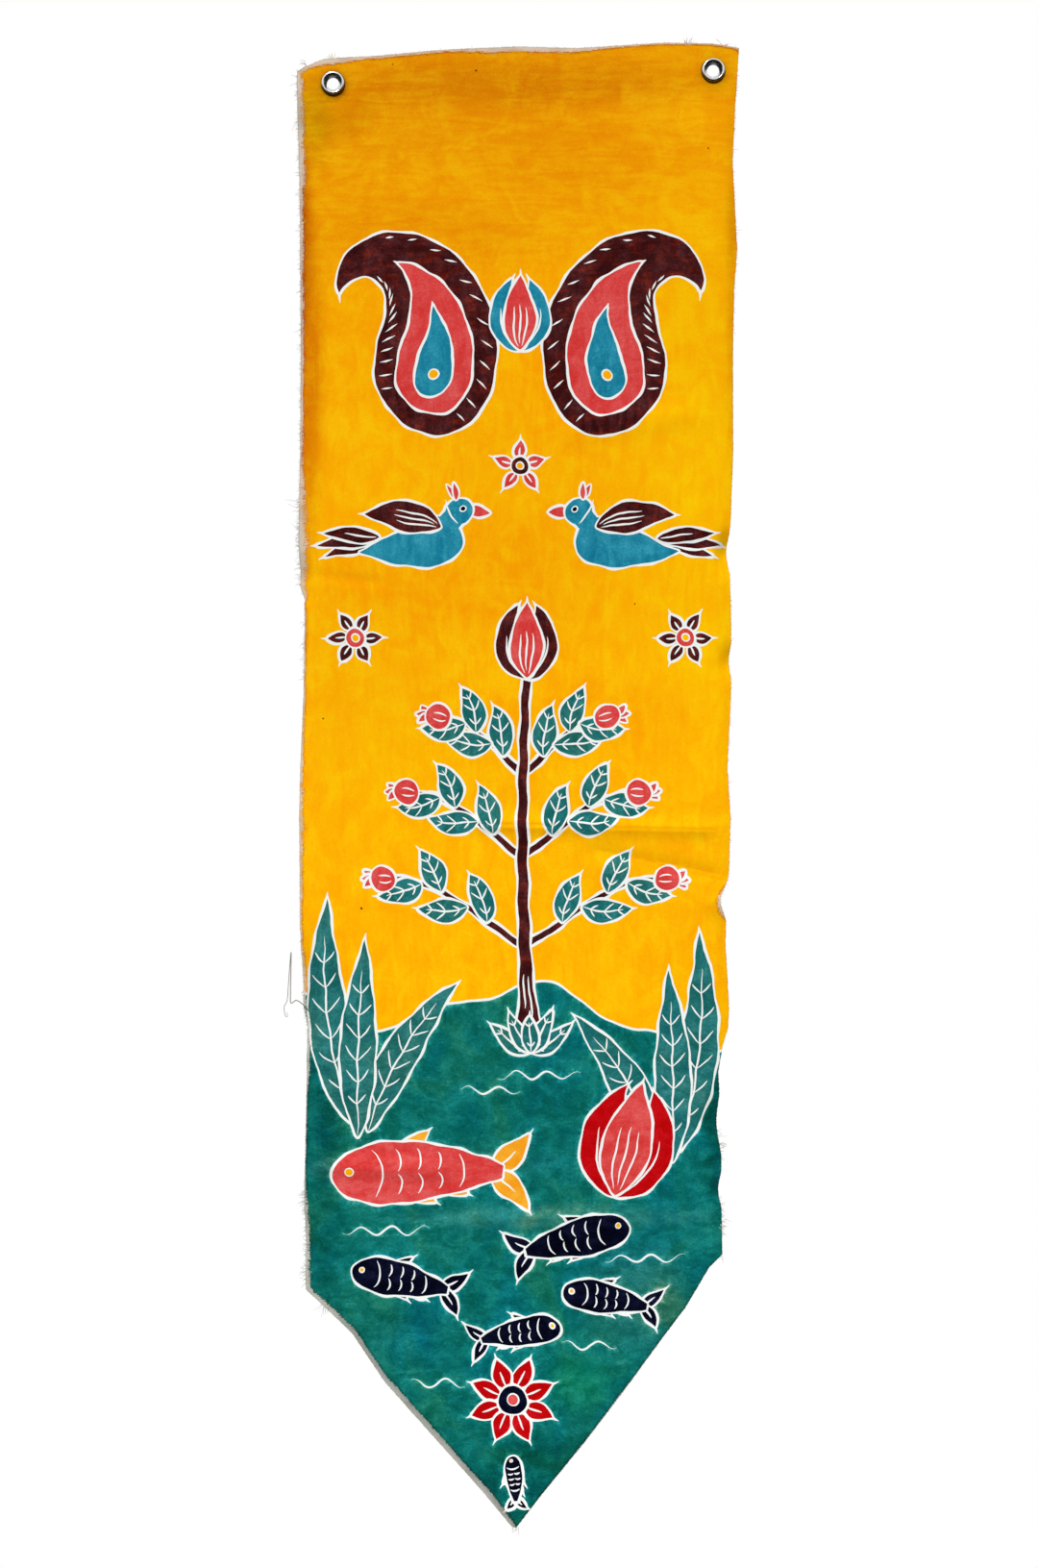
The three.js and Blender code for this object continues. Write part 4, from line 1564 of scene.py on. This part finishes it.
def bare_colour(nodes, place, cotton, threads):
    """Unpainted cotton: weathered, with painted shade greying it near the edge at the foot and darkening it
    right at the raw edge.
    """
    inward = nodes.attribute("inward")
    near_edge = nodes.between(inward, 0.022, 0.008, 0.22, 1.0)
    worn = nodes.between(nodes.cloud(place, 42, 4), 0.40, 0.66, 0.0, 0.8)
    colour = nodes.tint(nodes.multiply(worn, near_edge), cotton, WEATHERED)
    # Painted shade between the threads of the weave
    colour = nodes.tint(nodes.between(threads["Gaps"], 0.0, 1.0, 0.0, 0.35), colour, SHADE_BETWEEN_THREADS)
    # Painted shade greying the bare cotton near the edge at the foot
    at_foot = nodes.between(nodes.split(place)["Z"], -1.29, -1.35, 0.0, 0.62)
    colour = nodes.tint(nodes.multiply(at_foot, near_edge), colour, FOOT_EDGE_SHADE)
    # Painted shade right at the raw edge
    return nodes.tint(nodes.between(inward, 0.0012, 0.0001, 0.0, 0.50), colour, RAW_EDGE_SHADE)


def painted_cotton(cloth, paints):
    """Cotton whose paint follows the brush, ends raggedly at its edge, and is washed thin just past it."""
    material, nodes, shader, place = new_material("Painted cotton")
    threads = nodes.group("Plain weave", weave_group, place, cloth.thread_pitch)
    strokes = nodes.group("Brush strokes", brush_group, place)
    comb = nodes.group("Combed edge", comb_group, place)["Comb"]
    paint = nodes.attribute("paint", "Color")
    cover = nodes.attribute("cover")
    ragged = nodes.multiply(nodes.attribute("ragged"), 3.6)
    inside = nodes.multiply_add(comb, ragged, nodes.attribute("margin"))
    painted = nodes.multiply(nodes.between(inside, -0.0005, 0.0005), cover)
    washed = nodes.multiply(nodes.between(inside, -0.0080, 0.0, 0.0, 0.34), cover)

    depth = paint_depth(nodes, threads, strokes, inside)
    colour = paint_colour(nodes, place, paint, depth, inside)
    bare = bare_colour(nodes, place, (*paints.cotton, 1), threads)
    bare = nodes.mix_colours(washed, bare, paint)
    rough = nodes.between(strokes["Tone"], 0.3, 0.7, 0.96, 0.84)
    colour = nodes.mix_colours(painted, bare, colour)
    nodes.fill(shader, {"Base Color": colour, "Roughness": rough, "Specular IOR Level": 0.03})
    height = nodes.multiply_add(strokes["Fine"], 0.8, threads["Height"])
    nodes.bump(shader, height, 0.00018, 0.4)
    return material


def cotton_thread():
    """Loose cotton thread in the colour of its attribute, with twist and uneven dye."""
    material, nodes, shader, place = new_material("Cotton thread")
    strokes = nodes.group("Brush strokes", brush_group, place)
    uneven = nodes.between(strokes["Fine"], 0.35, 0.65, 0.0, 0.5)
    colour = nodes.tint(uneven, nodes.attribute("paint", "Color"), UNEVEN_DYE)
    rough = nodes.between(strokes["Fine"], 0.3, 0.7, 0.95, 0.8)
    nodes.fill(shader, {"Base Color": colour, "Roughness": rough, "Specular IOR Level": 0.1})
    nodes.bump(shader, nodes.cloud(place, 2600, 2), 0.0001, 0.6)
    return material


def bright_nickel():
    """Polished nickel plate with hair scratches, finger marks, a little tarnish, and painted shade and dark
    reflection at its rim and in its bore.
    """
    material, nodes, shader, place = new_material("Bright nickel")
    marks = nodes.cloud(place, 260, 5, 0.6)
    hairs = nodes.streaks(place, (900, 900, 120), 3, 0.7)
    tarnish = nodes.between(nodes.cloud(place, 620, 3), 0.52, 0.72, 0.0, 0.45)
    # Painted shade and painted dark reflection at the eyelet's rim and in its bore, from the profile
    painted_dark = nodes.attribute("painted_dark")
    colour = nodes.mix_colours(painted_dark, nodes.mix_colours(tarnish, NICKEL, TARNISHED), PAINTED_DARK_COLOUR)
    rough = nodes.multiply_add(painted_dark, 0.35, nodes.between(marks, 0.35, 0.7, 0.06, 0.18))
    nodes.fill(shader, {"Base Color": colour, "Roughness": rough, "Metallic": 1.0})
    nodes.bump(shader, hairs, 0.00002, 0.4)
    return material


def plain_surface(name, colour, roughness):
    """A surface in one colour with faint soft shades."""
    material, nodes, shader, place = new_material(name)
    shade = nodes.between(nodes.cloud(place, 3, 2), 0.3, 0.7, 0.0, 0.1)
    nodes.fill(shader, {"Base Color": nodes.tint(shade, colour, FAINT_SHADE), "Roughness": roughness})
    return material


class BANNER_OT_cloth(bpy.types.Operator):
    """Make the painted cloth as one sheet"""

    bl_idname = "banner.cloth"
    bl_label = "Painted cloth"

    def execute(self, context):
        cloth, paints = context.scene.banner_cloth, context.scene.banner_paints
        mesh = painted_cloth_mesh(cloth, paints)
        piece = new_piece("banner_cloth", mesh, painted_cotton(cloth, paints))
        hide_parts("heading", "cloth")
        return {"FINISHED"}


class BANNER_OT_threads(bpy.types.Operator):
    """Make the frayed threads round the raw edge and the long loose one"""

    bl_idname = "banner.threads"
    bl_label = "Frayed threads"

    def execute(self, context):
        cloth, paints = context.scene.banner_cloth, context.scene.banner_paints
        rng = np.random.default_rng(EDGE_SEED)
        material = cotton_thread()
        paths = all_frayed_paths(rng)
        colours = thread_colours(paths, paints, rng)
        grey = np.asarray(paints.cotton)[None] * LONG_THREAD_SHADE
        frayed = thread_mesh("frayed_edge", paths, cloth.thread_radius, colours)
        loose = thread_mesh("loose_thread", loose_thread_path(), LONG_THREAD_RADIUS, grey)
        for mesh in (frayed, loose):
            new_piece(mesh.name, mesh, material)
        return {"FINISHED"}


class BANNER_OT_eyelets(bpy.types.Operator):
    """Make the two pressed eyelets"""

    bl_idname = "banner.eyelets"
    bl_label = "Eyelets"

    def execute(self, context):
        sizes, cloth = context.scene.banner_eyelet, context.scene.banner_cloth
        material = bright_nickel()
        profile = eyelet_profile(sizes, cloth.thickness)
        for node, place in EYELET_PLACES.items():
            vertices, quads = lathe(profile, place, EYELET_SEGMENTS)
            mesh = make_mesh("nickel_" + node, vertices, np.zeros((0, 3), int), quads)
            # Where each eyelet is painted dark, as painted shade and painted reflection
            add_values(mesh, "painted_dark", "FLOAT", "POINT", np.tile(profile[:, 2], EYELET_SEGMENTS))
            piece = new_piece("nickel_" + node, mesh, material)
            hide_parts(node)
        return {"FINISHED"}


class BANNER_OT_sheet(bpy.types.Operator):
    bl_idname = "banner.sheet"
    bl_label = "Hung sheet"

    def execute(self, context):
        return {"FINISHED"}


# The stage

TOWARD_KEY_LIGHT = (-0.20, -1.0, 0.72)
TOWARD_BACK_LIGHT = (0.35, 1.0, 0.55)
KEY_SPREAD = 7
BACK_SPREAD = 20
FLOOR_COLOUR = (0.86, 0.86, 0.86, 1)
FLOOR_POINTS = 64
DIM_SKY = (0.012, 0.012, 0.014, 1)
WHITE = (1, 1, 1, 1)


def make_floor(radius, drop):
    """A round pale floor, flat and facing up, which the metal doesn't mirror."""
    mesh = bpy.data.meshes.new("floor")
    ring = circle((0, 0), radius, FLOOR_POINTS)
    places = np.column_stack([ring, np.full(FLOOR_POINTS, -drop)])
    mesh.from_pydata(places.tolist(), [], [range(FLOOR_POINTS)])
    floor = add_object("floor", mesh)
    mesh.materials.append(plain_surface("Pale floor", FLOOR_COLOUR, 0.9))
    floor.visible_glossy = False


def make_sky(strength):
    """A white backdrop, and light from all round that is bright above and dim below."""
    world = bpy.data.worlds.new("Studio sky")
    world.use_nodes = True
    tree = world.node_tree
    nodes = Nodes(tree)
    back = tree.nodes["Background"]
    direction = tree.nodes.new("ShaderNodeTexCoord").outputs["Generated"]
    to_camera = tree.nodes.new("ShaderNodeLightPath").outputs["Is Camera Ray"]
    lit = nodes.mix_colours(nodes.between(nodes.split(direction)["Z"], -0.12, 0.42), DIM_SKY, WHITE)
    colour = nodes.mix_colours(to_camera, lit, WHITE)
    nodes.fill(back, {"Color": colour, "Strength": nodes.between(to_camera, 0.0, 1.0, strength, 1.0)})
    bpy.context.scene.world = world


def make_sun(name, toward_light, strength, spread):
    """Even light from one direction, its shadows soft by an angle of spread."""
    sun = add_object(name, bpy.data.lights.new(name, "SUN"))
    sun.data.energy = strength
    sun.data.angle = math.radians(spread)
    sun.rotation_euler = Vector(toward_light).to_track_quat("Z", "Y").to_euler()


class BANNER_OT_stage(bpy.types.Operator):
    """Make the camera, the soft light and the floor"""

    bl_idname = "banner.stage"
    bl_label = "Stage"

    def execute(self, context):
        stage = context.scene.banner_stage
        make_floor(stage.floor_radius, stage.floor_drop)
        camera = add_object("camera", bpy.data.cameras.new("camera"))
        camera.location = (PHOTO_CENTRE[0], -stage.camera_distance, PHOTO_CENTRE[1])
        camera.rotation_euler = (math.radians(90), 0, 0)
        camera.data.sensor_width = SENSOR_MM
        camera.data.lens = SENSOR_MM * stage.camera_distance / PHOTO_SIZE[1]
        context.scene.camera = camera
        make_sun("key_light", TOWARD_KEY_LIGHT, stage.key_strength, KEY_SPREAD)
        make_sun("back_light", TOWARD_BACK_LIGHT, stage.back_strength, BACK_SPREAD)
        make_sky(stage.sky_strength)
        context.scene.view_settings.view_transform = "Standard"
        return {"FINISHED"}


class BANNER_PT_panel(bpy.types.Panel):
    """The banner's pieces and sizes"""

    bl_label = "Painted Banner"
    bl_idname = "BANNER_PT_panel"
    bl_space_type = "VIEW_3D"
    bl_region_type = "UI"
    bl_category = "Banner"

    def draw(self, context):
        for operator in OPERATORS:
            self.layout.operator(operator.bl_idname)
        for name, group in SETTINGS.items():
            box = self.layout.box()
            box.label(text=group.__doc__)
            for key in group.__annotations__:
                box.prop(getattr(context.scene, name), key)


SETTINGS = {
    "banner_cloth": BannerCloth,
    "banner_paints": BannerPaints,
    "banner_eyelet": BannerEyelet,
    "banner_stage": BannerStage,
}
OPERATORS = (BANNER_OT_cloth, BANNER_OT_threads, BANNER_OT_eyelets, BANNER_OT_sheet, BANNER_OT_stage)
CLASSES = (*SETTINGS.values(), *OPERATORS, BANNER_PT_panel)


def register():
    """Adds the classes, and a pointer to each group of settings."""
    for item in CLASSES:
        bpy.utils.register_class(item)
    for name, group in SETTINGS.items():
        setattr(bpy.types.Scene, name, bpy.props.PointerProperty(type=group))


def unregister():
    """Takes out what register adds."""
    for name in SETTINGS:
        delattr(bpy.types.Scene, name)
    for item in reversed(CLASSES):
        bpy.utils.unregister_class(item)


def main():
    """Makes the banner and its stage."""
    register()
    bpy.ops.banner.cloth()
    bpy.ops.banner.threads()
    bpy.ops.banner.eyelets()
    bpy.ops.banner.sheet()
    bpy.ops.banner.stage()


if __name__ == "__main__":
    main()
